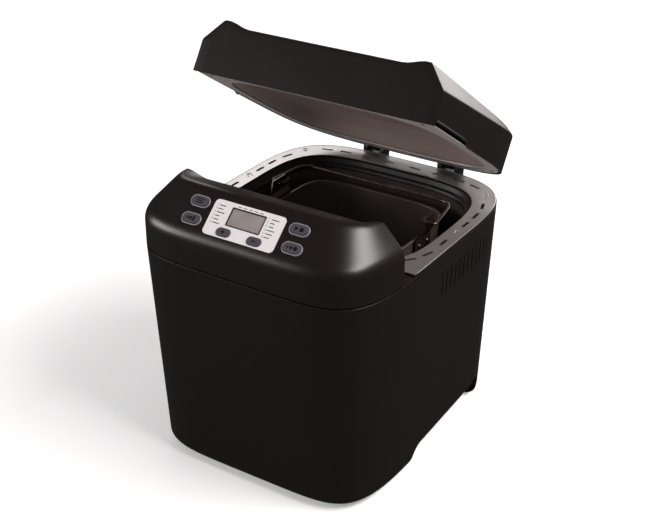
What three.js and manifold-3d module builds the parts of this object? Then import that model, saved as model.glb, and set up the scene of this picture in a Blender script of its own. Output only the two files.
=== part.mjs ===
// Bread machine: a tapered body with a sloped control console in front, a lidded baking
// chamber behind it, a loaf pan with a folding bail, and a belt drive to the kneading paddle.
// Units are millimetres, +Z is up, +X is the machine's right and +Y its back. All pieces are
// built about the line where the body is widest, and the whole is then moved so that its
// origin is at the bottom centre of its box.
import * as THREE from 'three';
import { mergeVertices } from 'three/addons/utils/BufferGeometryUtils.js';
import ManifoldModule from 'manifold-3d';

const wasm = await ManifoldModule();
wasm.setup();

// ---------------------------------------------------------------- driving dimensions
// Body
const BODY_WIDTH = 266;
const FRONT_REACH = 189.6;
const REAR_REACH = 130.9;
const BODY_TOP = 230.5;
const BODY_BOTTOM = 2;
const FRONT_SQUARENESS = 5.9;
const REAR_SQUARENESS = 3.95;
const FLOOR_SCALE_SIDE = 0.943;
const FLOOR_SCALE_FRONT = 0.938;
const BOTTOM_ROUNDING = 14.6;
const SHELL_WALL = 2.6;
const DECK = 2.5;
const GAP = 0.4;
const FLOOR_LIP = 2;
const WIRING_FROM_FRONT = 25;
const WIRING_TO_BACK = 6;
const PLATE_WALL = 2.5;
const PLATE_LEVEL = 6;

// Feet, and the gland for the mains lead
const FOOT_FROM_SIDE = 52;
const FOOT_FROM_FRONT = 52;
const FOOT_FROM_REAR = 50;
const FOOT_RADIUS = 9;
const FOOT_HEIGHT = 5.6;
const INLET_FROM_SIDE = 73;
const INLET_HEIGHT = 46;
const INLET_RADIUS = 6;

// Grip arches at the bottom of both sides
const ARCH_FROM_FRONT = 110.6;
const ARCH_FROM_REAR = 55;
const ARCH_HEIGHT_FRONT = 25;
const ARCH_HEIGHT_REAR = 33;
const ARCH_SLANT = 17;
const ARCH_DEPTH = 32;

// Side vents
const VENT_COUNT = 12;
const VENT_PITCH = 8.8;
const VENT_HEIGHT = 23;
const VENT_WIDTH = 1.8;
const VENT_CUT = 12;
const VENT_FIRST = -38;
const VENT_DROP = 44.5;

// Console
const CONSOLE_DEPTH = 77.2;
const CONSOLE_WALL_TOP = 33.9;
const RIDGE_RISE = 68.5;
const RIDGE_SETBACK = 38.9;
const HORN_RISE = 57.5;
const DIP_RISE = 52.3;
const SIDE_CHAMFER = 19.7;
const CONSOLE_WALL = 2.5;

// Control panel, measured along and across the console's slope
const PLATE_WIDTH = 77.2;
const PLATE_HEIGHT = 35.4;
const PLATE_CORNER = 4;
const PLATE_FROM_FRONT = 18.3;
const LCD_WIDTH = 36.2;
const LCD_HEIGHT = 17.6;
const LCD_UP = 4.2;
const LCD_RIM = 2.2;
const STEP_BUTTON_WIDTH = 15.4;
const STEP_BUTTON_HEIGHT = 9.8;
const STEP_BUTTON_X = 16.8;
const STEP_BUTTON_DOWN = 12;
const RING_WIDTH = 21.8;
const RING_HEIGHT = 13.3;
const RING_BAND = 1.3;
const SIDE_BUTTON_GAP = 4.7;
const SIDE_BUTTON_UP = 10.5;
const SIDE_BUTTON_DOWN = 7.7;
const SIDE_BUTTON_SPLAY = 1;
const BUTTON_TRAVEL = 1.2;
const BUTTON_PROUD = 1.5;
const RING_PROUD = 0.6;
const PLATE_RECESS = 0.9;
const RING_RECESS = 1.2;
const BOARD_DROP = 11;
const BOARD_HEIGHT = 38;
const BOARD_EDGE = 3;
const SWITCH_HEIGHT = 2.6;
const SWITCH_SIZE = 6;

// Rim plate and baking chamber
const RIM_WIDTH = 19.6;
const RIM_FRONT = 16.7;
const RIM_REAR = 26.1;
const RIM_THICKNESS = 2;
const RIM_INSET = 1;
const CHAMBER_SQUARENESS = 3.8;
const COLLAR_DEPTH = 9.5;
const LINER_INSET = 5.6;
const LINER_WALL = 1.2;
const CHAMBER_FLOOR = 60;
const ELEMENT_RADIUS = 3.3;
const ELEMENT_RISE = 22;
const ELEMENT_INSET = 15.5;
const ELEMENT_BEND = 14;
const TERMINAL_X = 46;
const TERMINAL_REACH = 8;
const PROBE_Y = 42;
const PROBE_RISE = 88;
const PROBE_RADIUS = 2.9;
const PROBE_FLANGE = 5.5;
const SLOT_LENGTH = 13.6;
const SLOT_WIDTH = 2.4;
const NOTCH_DEPTH = 20.9;
const NOTCH_EDGE = 1.6;
const COLLAR_FLARE = 1.2;

// Pan
const PAN_SETBACK = 5.45;
const PAN_SIDE_GAP = 26.6;
const PAN_REAR_GAP = 26;
const PAN_RIM_DROP = 13.5;
const PAN_FLOOR = 82;
const PAN_WALL = 1.6;
const PAN_DRAFT = 6;
const PAN_SQUARENESS = 5;
const PAN_LIP = 1.6;
const PAN_CHINE = 3;
const PAN_CHINE_RISE = 4;
const BAIL_WIRE = 3.2;
const BAIL_RISE = 1.5;
const BAIL_LENGTH = 50;
const EAR_WIDTH = 30;
const EAR_STEP = 4;
const EAR_SHEET = 1.3;
const RIVET_RADIUS = 2.4;
const RIVET_SPREAD = 8;

// Drive
const BELT_WIDTH = 8;
const BELT_THICKNESS = 1.8;
const BELT_HEIGHT = 24;
const DRIVEN_RADIUS = 42;
const MOTOR_PULLEY_RADIUS = 8.4;
const SHAFT_RADIUS = 4;
const MOTOR_SHAFT_RADIUS = 3;
const BEARING_RADIUS = 13;
const SOCKET_RADIUS = 15;
const SOCKET_RISE = 8.5;
const POST_RADIUS = 3;
const POST_OFFSET = 10;
const PAN_SLEEVE_RADIUS = 9;
const CHASSIS_LEVEL = 34;
const CHASSIS_HALF = 44;
const MOTOR_SIZE = 68;
const MOTOR_HEIGHT = 56;
const MOTOR_CLEARANCE = 11;
const RUNNING_GAP = 0.35;

// Lid, in its closed place
const LID_SEAM = 2.9;
const LID_LIFT = 2.9;
const LID_WALL_TOP = 34.7;
const LID_WALL_SLOPE = 0.036;
const LID_WALL = 2.5;
const LID_REAR_CHAMFER = 4;
const LID_REAR_TOP = 44;
const LID_OPEN_ANGLE = 33.5;
const LID_SHEET = 1.2;
const SCREW_RADIUS = 1.5;
const SCREW_HEAD = 2.7;
const SCREW_LENGTH = 13;
const SCOOP_LENGTH = 85;
const SCOOP_HEIGHT = 5;
const DISH_INSET = 8;
const DISH_DEPTH = 22;
const HINGE_SETBACK = 7.7;
const HINGE_RISE = 5.9;
const HINGE_X = 46;
const HINGE_PIN_RADIUS = 2.2;
const LUG_RADIUS = 6.5;
const ARM_HALF = 7.4;

// How far a cutting solid runs past what it cuts
const OVERCUT = 5;

// Mesh fineness
const RING_POINTS = 40;
const PAN_POINTS = 32;
const ROUND_SIDES = 20;
const SMALL_SIDES = 10;
const CORNER_STEPS = 3;

// ---------------------------------------------------------------- derived places
const halfWidth = BODY_WIDTH / 2;
const consoleBack = CONSOLE_DEPTH - FRONT_REACH;
const openHalf = halfWidth - RIM_WIDTH;
const openFront = consoleBack + RIM_FRONT;
const openRear = REAR_REACH - RIM_REAR;
const rimTop = BODY_TOP + GAP + RIM_THICKNESS;
const lidFront = consoleBack + LID_SEAM;
const lidBottom = BODY_TOP + LID_LIFT;
const hingeY = REAR_REACH + HINGE_SETBACK;
const hingeZ = BODY_TOP + HINGE_RISE;
const panRim = BODY_TOP - PAN_RIM_DROP;
const panCentre = (openFront + openRear) / 2 + PAN_SETBACK;
const panHalf = openHalf - LINER_INSET - PAN_SIDE_GAP;
const panDepth = openRear - LINER_INSET - PAN_REAR_GAP - panCentre;
const bailLevel = BODY_TOP + BAIL_RISE;
const motorY = openFront + LINER_INSET - MOTOR_CLEARANCE - MOTOR_SIZE / 2;
const slopeAngle = Math.atan2(RIDGE_RISE - CONSOLE_WALL_TOP, RIDGE_SETBACK);
const plateY = PLATE_FROM_FRONT - FRONT_REACH;
const plateZ = BODY_TOP + CONSOLE_WALL_TOP + PLATE_FROM_FRONT * Math.tan(slopeAngle);
const sideButtonX = PLATE_WIDTH / 2 + SIDE_BUTTON_GAP + RING_WIDTH / 2;
const archInner = halfWidth - ARCH_DEPTH;
const inletX = INLET_FROM_SIDE - halfWidth;
const elementLevel = CHAMBER_FLOOR + ELEMENT_RISE;
const probeLevel = CHAMBER_FLOOR + PROBE_RISE;
const socketFace = CHAMBER_FLOOR + SOCKET_RISE;
const beltLow = BELT_HEIGHT - BELT_WIDTH / 2;
const beltHigh = BELT_HEIGHT + BELT_WIDTH / 2;

// ---------------------------------------------------------------- finishes
const FINISHES = {
  black_plastic: { color: 0x241f1e, roughness: 0.38, metalness: 0.0 },
  dark_plastic: { color: 0x1a1817, roughness: 0.6, metalness: 0.0 },
  rim_silver: { color: 0xb9b7b6, roughness: 0.35, metalness: 0.8 },
  label_silver: { color: 0xd8d3d3, roughness: 0.4, metalness: 0.3 },
  lcd_grey: { color: 0x918a8a, roughness: 0.2, metalness: 0.0 },
  button_grey: { color: 0x47464b, roughness: 0.5, metalness: 0.0 },
  ring_grey: { color: 0xa3a2a6, roughness: 0.35, metalness: 0.2 },
  nonstick: { color: 0x2a2422, roughness: 0.45, metalness: 0.4 },
  lid_steel: { color: 0x6e6360, roughness: 0.35, metalness: 0.7 },
  steel: { color: 0xb8b8ba, roughness: 0.3, metalness: 0.9 },
  rubber: { color: 0x161616, roughness: 0.9, metalness: 0.0 },
  board_green: { color: 0x2f5a3a, roughness: 0.6, metalness: 0.0 },
  brass: { color: 0xa88a4a, roughness: 0.4, metalness: 0.8 },
};

// ---------------------------------------------------------------- solids and meshes
function solid(geometry) {
  const bare = geometry.clone();
  bare.deleteAttribute('normal');
  bare.deleteAttribute('uv');
  const merged = mergeVertices(bare, 1e-4);
  const vertProperties = Float32Array.from(merged.getAttribute('position').array);
  const triVerts = Uint32Array.from(merged.getIndex().array);
  return new wasm.Manifold(new wasm.Mesh({ numProp: 3, vertProperties, triVerts }));
}

function geometryOf(shape) {
  const mesh = shape.getMesh();
  const geometry = new THREE.BufferGeometry();
  geometry.setAttribute('position', new THREE.BufferAttribute(Float32Array.from(mesh.vertProperties), 3));
  geometry.setIndex(new THREE.BufferAttribute(Uint32Array.from(mesh.triVerts), 1));
  geometry.computeVertexNormals();
  return geometry;
}

function addPart(parent, name, shape, finish) {
  const mesh = new THREE.Mesh(geometryOf(shape), new THREE.MeshStandardMaterial(FINISHES[finish]));
  mesh.name = name;
  parent.add(mesh);
  return mesh;
}

function joined(shapes) {
  return shapes.reduce((whole, shape) => whole.add(shape));
}

function block(x0, x1, y0, y1, z0, z1) {
  const geometry = new THREE.BoxGeometry(x1 - x0, y1 - y0, z1 - z0);
  geometry.translate((x0 + x1) / 2, (y0 + y1) / 2, (z0 + z1) / 2);
  return solid(geometry);
}

// The two ends of a span, the lower first.
const between = (a, b) => [Math.min(a, b), Math.max(a, b)];

function extruded(shape, z0, z1, curveSegments = CORNER_STEPS) {
  const geometry = new THREE.ExtrudeGeometry(shape, {
    depth: z1 - z0,
    bevelEnabled: false,
    curveSegments,
  });
  geometry.translate(0, 0, z0);
  return geometry;
}

// A shape drawn in the (y, z) plane and extruded from x0 to x1.
function extrudedAlongX(shape, x0, x1) {
  const toMachine = new THREE.Matrix4().makeBasis(
    new THREE.Vector3(0, 1, 0),
    new THREE.Vector3(0, 0, 1),
    new THREE.Vector3(1, 0, 0),
  );
  return solid(extruded(shape, x0, x1).applyMatrix4(toMachine));
}

// A profile of [radius, height] pairs turned about the Z axis.
function turned(profile, sides = ROUND_SIDES) {
  const points = profile.map(([radius, height]) => new THREE.Vector2(radius, height));
  const geometry = new THREE.LatheGeometry(points, sides);
  geometry.rotateX(Math.PI / 2);
  return solid(geometry);
}

function rod(radius, z0, z1, sides = ROUND_SIDES) {
  return turned([[0, z0], [radius, z0], [radius, z1], [0, z1]], sides);
}

function tubeRing(inner, outer, z0, z1, sides = ROUND_SIDES) {
  return turned([[inner, z0], [outer, z0], [outer, z1], [inner, z1], [inner, z0]], sides);
}

// A rod along X from x0 to x1, with its axis through (y, z).
function crossRod(radius, x0, x1, y, z, sides = SMALL_SIDES) {
  return rod(radius, x0, x1, sides).rotate([0, 90, 0]).translate([0, y, z]);
}

function roundedRectangle(width, height, corner) {
  const x = width / 2 - corner;
  const y = height / 2 - corner;
  const shape = new THREE.Shape();
  shape.absarc(x, y, corner, 0, Math.PI / 2);
  shape.absarc(-x, y, corner, Math.PI / 2, Math.PI);
  shape.absarc(-x, -y, corner, Math.PI, 1.5 * Math.PI);
  shape.absarc(x, -y, corner, 1.5 * Math.PI, 2 * Math.PI);
  return shape;
}

// A flat pill, its long side along X, centred on (x, y).
function pill(width, height, z0, z1, x = 0, y = 0) {
  const geometry = extruded(roundedRectangle(width, height, height / 2 - 0.01), z0, z1);
  return solid(geometry.translate(x, y, 0));
}

// A round bar along a path of straight runs joined by bends of the given radius.
function bentBar(corners, radius, bend, steps, sides = 8) {
  const path = new THREE.CurvePath();
  let last = corners[0];
  for (let i = 1; i < corners.length - 1; i += 1) {
    const inward = corners[i - 1].clone().sub(corners[i]).setLength(bend).add(corners[i]);
    const outward = corners[i + 1].clone().sub(corners[i]).setLength(bend).add(corners[i]);
    path.add(new THREE.LineCurve3(last, inward));
    path.add(new THREE.QuadraticBezierCurve3(inward, corners[i], outward));
    last = outward;
  }
  path.add(new THREE.LineCurve3(last, corners[corners.length - 1]));
  const section = new THREE.Shape();
  for (let i = 0; i < sides; i += 1) {
    const turn = (i / sides) * 2 * Math.PI;
    const place = [radius * Math.cos(turn), radius * Math.sin(turn)];
    if (i === 0) section.moveTo(...place);
    else section.lineTo(...place);
  }
  return solid(new THREE.ExtrudeGeometry(section, { steps, extrudePath: path }));
}

// ---------------------------------------------------------------- rounded outlines
const bulge = (value, squareness) => Math.sign(value) * Math.abs(value) ** (2 / squareness);
const blend = (from, to, share) => from + (to - from) * share;

function smooth(value) {
  const share = Math.min(Math.max(value, 0), 1);
  return share * share * (3 - 2 * share);
}

function outlinePoint(outline, turn) {
  const back = Math.sin(turn) > 0;
  const squareness = back ? outline.rearSquareness : outline.frontSquareness;
  const x = outline.half * bulge(Math.cos(turn), squareness);
  const y = (back ? outline.rear : outline.front) * bulge(Math.sin(turn), squareness);
  return new THREE.Vector2(x, y + outline.centre);
}

function ring(outline, z, count = RING_POINTS) {
  const points = [];
  for (let i = 0; i < count; i += 1) {
    const flat = outlinePoint(outline, (i / count) * 2 * Math.PI);
    points.push(new THREE.Vector3(flat.x, flat.y, z));
  }
  return points;
}

// The body's plan at a height, moved inwards by inset.
function bodyOutline(inset, z = BODY_TOP) {
  const rise = Math.min(z / BODY_TOP, 1);
  const side = blend(FLOOR_SCALE_SIDE, 1, rise);
  return {
    half: halfWidth * side - inset,
    front: FRONT_REACH * blend(FLOOR_SCALE_FRONT, 1, rise) - inset,
    rear: REAR_REACH * side - inset,
    frontSquareness: FRONT_SQUARENESS,
    rearSquareness: REAR_SQUARENESS,
    centre: 0,
  };
}

// The chamber's mouth, grown outwards by grow.
function chamberOutline(grow) {
  return {
    half: openHalf + grow,
    front: grow - openFront,
    rear: openRear + grow,
    frontSquareness: CHAMBER_SQUARENESS,
    rearSquareness: CHAMBER_SQUARENESS,
    centre: 0,
  };
}

function panOutline(inset) {
  return {
    half: panHalf - inset,
    front: panDepth - inset,
    rear: panDepth - inset,
    frontSquareness: PAN_SQUARENESS,
    rearSquareness: PAN_SQUARENESS,
    centre: 0,
  };
}

// A closed solid through rings of equal point count, with fan caps unless strips are asked.
function loft(rings, stripCaps = false) {
  const count = rings[0].length;
  const positions = rings.flat().flatMap((point) => [point.x, point.y, point.z]);
  const index = [];
  for (let level = 0; level < rings.length - 1; level += 1) {
    for (let i = 0; i < count; i += 1) {
      const here = level * count + i;
      const next = level * count + ((i + 1) % count);
      index.push(here, next, next + count, here, next + count, here + count);
    }
  }
  const capTriangles = stripCaps ? stripCap(count) : fanCap(count);
  for (const [first, flip] of [[0, true], [(rings.length - 1) * count, false]]) {
    let centre = -1;
    if (!stripCaps) {
      const ringPoints = rings[first / count];
      const middle = ringPoints.reduce((sum, point) => sum.add(point), new THREE.Vector3());
      middle.divideScalar(count);
      centre = positions.length / 3;
      positions.push(middle.x, middle.y, middle.z);
    }
    for (const [a, b, c] of capTriangles) {
      const [p, q, r] = [a, b, c].map((corner) => (corner < 0 ? centre : first + corner));
      index.push(...(flip ? [p, r, q] : [p, q, r]));
    }
  }
  const geometry = new THREE.BufferGeometry();
  geometry.setAttribute('position', new THREE.Float32BufferAttribute(positions, 3));
  geometry.setIndex(index);
  return solid(geometry);
}

function fanCap(count) {
  return Array.from({ length: count }, (_, i) => [i, (i + 1) % count, -1]);
}

// Triangles across a ring whose second half runs back beside its first half.
function stripCap(count) {
  const triangles = [];
  const last = count / 2;
  for (let i = 0; i < last; i += 1) {
    const opposite = (count - i) % count;
    const nextOpposite = count - i - 1;
    if (i + 1 < last) triangles.push([i, i + 1, nextOpposite]);
    else triangles.push([i, last, nextOpposite]);
    if (i > 0 && i + 1 <= last && opposite !== nextOpposite) triangles.push([i, nextOpposite, opposite]);
  }
  return triangles.filter(([a, b, c]) => a !== b && b !== c && a !== c);
}

function prism(outline, z0, z1, count = RING_POINTS) {
  return loft([ring(outline, z0, count), ring(outline, z1, count)]);
}

// ---------------------------------------------------------------- body
function bodySolid(inset, bottom, top) {
  const rounding = BOTTOM_ROUNDING - inset;
  const rings = [0, 1, 2, 3, 4].map((step) => {
    const turn = (step / 4) * (Math.PI / 2);
    const z = bottom + rounding * (1 - Math.cos(turn));
    return ring(bodyOutline(inset + rounding * (1 - Math.sin(turn)), z), z);
  });
  rings.push(ring(bodyOutline(inset, top), top));
  return loft(rings);
}

// One grip arch's side view, grown by grow, as a solid from x0 to x1.
function archSolid(grow, x0, x1) {
  const front = ARCH_FROM_FRONT - FRONT_REACH - grow;
  const rear = REAR_REACH - ARCH_FROM_REAR + grow;
  const shape = new THREE.Shape();
  shape.moveTo(front, -1);
  shape.lineTo(front + ARCH_SLANT * 0.45, ARCH_HEIGHT_FRONT * 0.7 + grow);
  shape.lineTo(front + ARCH_SLANT, ARCH_HEIGHT_FRONT + grow);
  shape.lineTo(rear - ARCH_SLANT * 0.3, ARCH_HEIGHT_REAR + grow);
  shape.lineTo(rear, ARCH_HEIGHT_REAR - ARCH_SLANT * 0.3 + grow);
  shape.lineTo(rear, -1);
  return extrudedAlongX(shape, x0, x1);
}

function ventSlots() {
  const slots = [];
  for (let i = 0; i < VENT_COUNT; i += 1) {
    const y = VENT_FIRST + i * VENT_PITCH;
    const z = BODY_TOP - VENT_DROP;
    for (const side of [-1, 1]) {
      const x = side * halfWidth;
      slots.push(block(x - VENT_CUT, x + VENT_CUT, y, y + VENT_WIDTH, z, z + VENT_HEIGHT));
    }
  }
  return joined(slots);
}

function bodyShell() {
  const outer = bodySolid(0, BODY_BOTTOM, BODY_TOP);
  const hollow = bodySolid(SHELL_WALL, BODY_BOTTOM + SHELL_WALL, BODY_TOP - DECK);
  const floorHole = prism(
    bodyOutline(BOTTOM_ROUNDING + FLOOR_LIP, 0),
    BODY_BOTTOM - OVERCUT,
    BODY_BOTTOM + SHELL_WALL + OVERCUT,
  );
  const mouth = prism(chamberOutline(COLLAR_FLARE + GAP), BODY_TOP - DECK - OVERCUT, BODY_TOP + OVERCUT);
  const wiring = block(
    -openHalf,
    openHalf,
    WIRING_FROM_FRONT - FRONT_REACH,
    consoleBack - WIRING_TO_BACK,
    BODY_TOP - DECK - OVERCUT,
    BODY_TOP + OVERCUT,
  );
  const arches = archSolid(0, -halfWidth - OVERCUT, -archInner).add(
    archSolid(0, archInner, halfWidth + OVERCUT),
  );
  return outer
    .subtract(hollow)
    .subtract(floorHole)
    .subtract(mouth)
    .subtract(wiring)
    .subtract(arches)
    .subtract(ventSlots())
    .subtract(cordInletBore(INLET_RADIUS + GAP));
}

// A flat tray that rises over both grip arches, cut to fit inside the shell.
function basePlate() {
  const inside = bodySolid(SHELL_WALL + GAP, BODY_BOTTOM + SHELL_WALL + GAP, BODY_TOP / 2);
  const below = block(-BODY_WIDTH, BODY_WIDTH, -FRONT_REACH, REAR_REACH, -PLATE_LEVEL, PLATE_LEVEL);
  let plate = prism(bodyOutline(BOTTOM_ROUNDING + FLOOR_LIP + GAP, 0), PLATE_LEVEL, PLATE_LEVEL + PLATE_WALL);
  for (const side of [-1, 1]) {
    const outer = archSolid(PLATE_WALL, ...between(side * (archInner - PLATE_WALL), side * BODY_WIDTH));
    plate = plate.add(outer.subtract(below));
  }
  for (const side of [-1, 1]) {
    plate = plate.subtract(archSolid(0, ...between(side * archInner, side * BODY_WIDTH)));
  }
  return plate.intersect(inside);
}

function rearWall(x, z) {
  const outline = bodyOutline(0, z);
  return outline.rear * (1 - Math.abs(x / outline.half) ** REAR_SQUARENESS) ** (1 / REAR_SQUARENESS);
}

function cordInletBore(radius) {
  const y = rearWall(inletX, INLET_HEIGHT);
  return rod(radius, -14, 6, SMALL_SIDES).rotate([-90, 0, 0]).translate([inletX, y, INLET_HEIGHT]);
}

// The gland that the mains lead would leave through.
function cordInlet() {
  const neck = INLET_RADIUS;
  const bore = neck * 0.6;
  const profile = [
    [bore, -12],
    [neck + 2, -12],
    [neck + 2, -SHELL_WALL * 2],
    [neck, -SHELL_WALL * 2],
    [neck, 1.8],
    [neck + 3, 1.8],
    [neck + 1, 6],
    [bore, 6],
  ];
  const gland = turned([...profile, profile[0]], SMALL_SIDES);
  return gland.rotate([-90, 0, 0]).translate([inletX, rearWall(inletX, INLET_HEIGHT), INLET_HEIGHT]);
}

function addBody(machine) {
  addPart(machine, 'body_shell', bodyShell(), 'black_plastic');
  addPart(machine, 'base_plate', basePlate(), 'dark_plastic');
  addPart(machine, 'cord_inlet', cordInlet(), 'rubber');
  const footProfile = [
    [0, 0],
    [FOOT_RADIUS - 1, 0],
    [FOOT_RADIUS, 1.2],
    [FOOT_RADIUS, FOOT_HEIGHT],
    [0, FOOT_HEIGHT],
  ];
  const footX = halfWidth - FOOT_FROM_SIDE;
  for (const [end, y] of [['front', FOOT_FROM_FRONT - FRONT_REACH], ['rear', REAR_REACH - FOOT_FROM_REAR]]) {
    for (const [side, x] of [['left', -footX], ['right', footX]]) {
      const foot = addPart(machine, `foot_${end}_${side}`, turned(footProfile), 'rubber');
      foot.position.set(x, y, 0);
    }
  }
}

// ---------------------------------------------------------------- console
// Points along the console's front from right to left, then back along its straight rear edge.
function consoleRing(outline, back, heightAt) {
  const columns = 22;
  const cut = Math.asin((-back / outline.front) ** (outline.frontSquareness / 2));
  const front = [];
  for (let i = 0; i <= columns; i += 1) {
    const turn = -cut - (i / columns) * (Math.PI - 2 * cut);
    const flat = outlinePoint(outline, turn);
    const y = Math.min(flat.y, back);
    front.push(new THREE.Vector3(flat.x, y, heightAt(flat.x, y)));
  }
  const rear = front.slice(1, columns).reverse().map(
    (point) => new THREE.Vector3(point.x, back, heightAt(point.x, back)),
  );
  return [...front, ...rear].reverse();
}

function dipHeight(x, inset) {
  const share = (Math.abs(x) / (halfWidth - SIDE_CHAMFER) - 0.75) / 0.2;
  return BODY_TOP + blend(DIP_RISE, HORN_RISE, smooth(share)) - inset;
}

function consoleSolid(inset, bottom) {
  const back = consoleBack - inset;
  const wallTop = BODY_TOP + CONSOLE_WALL_TOP - inset * 0.4;
  const ridge = {
    ...bodyOutline(inset),
    half: halfWidth - SIDE_CHAMFER - inset,
    front: FRONT_REACH - RIDGE_SETBACK - inset * 0.4,
  };
  const ridgeHeight = (x, y) => {
    const share = (y + ridge.front) / (back + ridge.front);
    const falling = blend(BODY_TOP + RIDGE_RISE - inset, BODY_TOP + HORN_RISE - inset, share);
    return y >= back - 0.01 ? dipHeight(x, inset) : falling;
  };
  return loft([
    consoleRing(bodyOutline(inset), back, () => bottom),
    consoleRing(bodyOutline(inset), back, () => wallTop),
    consoleRing(ridge, back, ridgeHeight),
  ], true);
}

const panelFrame = new THREE.Matrix4()
  .makeTranslation(0, plateY, plateZ)
  .multiply(new THREE.Matrix4().makeRotationX(slopeAngle));

// Takes a solid from the panel's own frame to the machine's.
function onPanel(shape) {
  return shape.transform(panelFrame.toArray());
}

const SIDE_BUTTONS = [
  ['menu_button', -sideButtonX, SIDE_BUTTON_UP],
  ['colour_button', -sideButtonX - SIDE_BUTTON_SPLAY, -SIDE_BUTTON_DOWN],
  ['start_button', sideButtonX, SIDE_BUTTON_UP],
  ['weight_button', sideButtonX + SIDE_BUTTON_SPLAY, -SIDE_BUTTON_DOWN],
];
const STEP_BUTTONS = [
  ['plus_button', -STEP_BUTTON_X, -STEP_BUTTON_DOWN],
  ['minus_button', STEP_BUTTON_X, -STEP_BUTTON_DOWN],
];

function plateOutline(grow, z0, z1) {
  const shape = roundedRectangle(PLATE_WIDTH + grow * 2, PLATE_HEIGHT + grow * 2, PLATE_CORNER);
  return solid(extruded(shape, z0, z1));
}

function lcdOpening(z0, z1) {
  return block(-LCD_WIDTH / 2, LCD_WIDTH / 2, LCD_UP - LCD_HEIGHT / 2, LCD_UP + LCD_HEIGHT / 2, z0, z1);
}

function frontConsole() {
  let shell = consoleSolid(0, BODY_TOP + GAP).subtract(consoleSolid(CONSOLE_WALL, BODY_TOP - 5));
  const through = 0.8 - BOARD_DROP + SWITCH_HEIGHT - GAP;
  const above = 4;
  const cuts = [plateOutline(GAP, -PLATE_RECESS, above), lcdOpening(through, above)];
  for (const [, x, y] of STEP_BUTTONS) {
    cuts.push(pill(STEP_BUTTON_WIDTH, STEP_BUTTON_HEIGHT, through, above, x, y));
  }
  const innerWidth = RING_WIDTH - RING_BAND * 2 + GAP;
  const innerHeight = RING_HEIGHT - RING_BAND * 2 + GAP;
  for (const [, x, y] of SIDE_BUTTONS) {
    cuts.push(pill(RING_WIDTH + GAP * 2, RING_HEIGHT + GAP * 2, -RING_RECESS, above, x, y));
    cuts.push(pill(innerWidth, innerHeight, through, above, x, y));
  }
  for (const cut of cuts) shell = shell.subtract(onPanel(cut));
  return shell;
}

function controlBoard() {
  const top = -BOARD_DROP;
  const half = sideButtonX + RING_WIDTH / 2 + BOARD_EDGE;
  const parts = [block(-half, half, -BOARD_HEIGHT / 2, BOARD_HEIGHT / 2, top - 1.6, top)];
  const reach = SWITCH_SIZE / 2;
  for (const [, x, y] of [...SIDE_BUTTONS, ...STEP_BUTTONS]) {
    parts.push(block(x - reach, x + reach, y - reach, y + reach, top - 0.5, top + SWITCH_HEIGHT));
  }
  return joined(parts);
}

function labelPlate() {
  const face = 0.5;
  let plate = plateOutline(0, GAP - PLATE_RECESS, face).subtract(lcdOpening(-OVERCUT, OVERCUT));
  for (const [, x, y] of STEP_BUTTONS) {
    plate = plate.subtract(pill(STEP_BUTTON_WIDTH, STEP_BUTTON_HEIGHT, -OVERCUT, OVERCUT, x, y));
  }
  return plate;
}

function addButton(panel, name, shape, x, y) {
  const button = addPart(panel, name, shape, 'button_grey');
  button.position.set(x, y, 0);
}

function addConsole(machine) {
  addPart(machine, 'front_console', frontConsole(), 'black_plastic');
  const panel = new THREE.Group();
  panel.position.set(0, plateY, plateZ);
  panel.rotation.x = slopeAngle;
  machine.add(panel);
  addPart(panel, 'label_plate', labelPlate(), 'label_silver');
  const windowHalf = LCD_WIDTH / 2 - GAP;
  const low = LCD_UP - LCD_HEIGHT / 2 + GAP;
  const high = LCD_UP + LCD_HEIGHT / 2 - GAP;
  addPart(panel, 'lcd_window', block(-windowHalf, windowHalf, low, high, -2.2, 0.1), 'lcd_grey');
  const moduleHalf = LCD_WIDTH / 2 + LCD_RIM;
  const moduleReach = LCD_HEIGHT / 2 + LCD_RIM;
  const moduleLow = 0.6 - BOARD_DROP;
  const lcdModule = block(
    -moduleHalf,
    moduleHalf,
    LCD_UP - moduleReach,
    LCD_UP + moduleReach,
    moduleLow,
    -4.6,
  );
  addPart(panel, 'lcd_module', lcdModule, 'dark_plastic');
  addPart(panel, 'control_board', controlBoard(), 'board_green');
  const foot = SWITCH_HEIGHT - BOARD_DROP + GAP + BUTTON_TRAVEL;
  const stepWidth = STEP_BUTTON_WIDTH - GAP * 2;
  const stepHeight = STEP_BUTTON_HEIGHT - GAP * 2;
  for (const [name, x, y] of STEP_BUTTONS) {
    addButton(panel, name, pill(stepWidth, stepHeight, foot, BUTTON_PROUD), x, y);
  }
  const innerWidth = RING_WIDTH - RING_BAND * 2;
  const innerHeight = RING_HEIGHT - RING_BAND * 2;
  for (const [name, x, y] of SIDE_BUTTONS) {
    addButton(panel, name, pill(innerWidth - GAP * 2, innerHeight - GAP * 2, foot, BUTTON_PROUD), x, y);
    const band = pill(RING_WIDTH, RING_HEIGHT, GAP - RING_RECESS, RING_PROUD)
      .subtract(pill(innerWidth, innerHeight, -OVERCUT, OVERCUT));
    const bandMesh = addPart(panel, name.replace('button', 'ring'), band, 'ring_grey');
    bandMesh.position.set(x, y, 0);
  }
}

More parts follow.
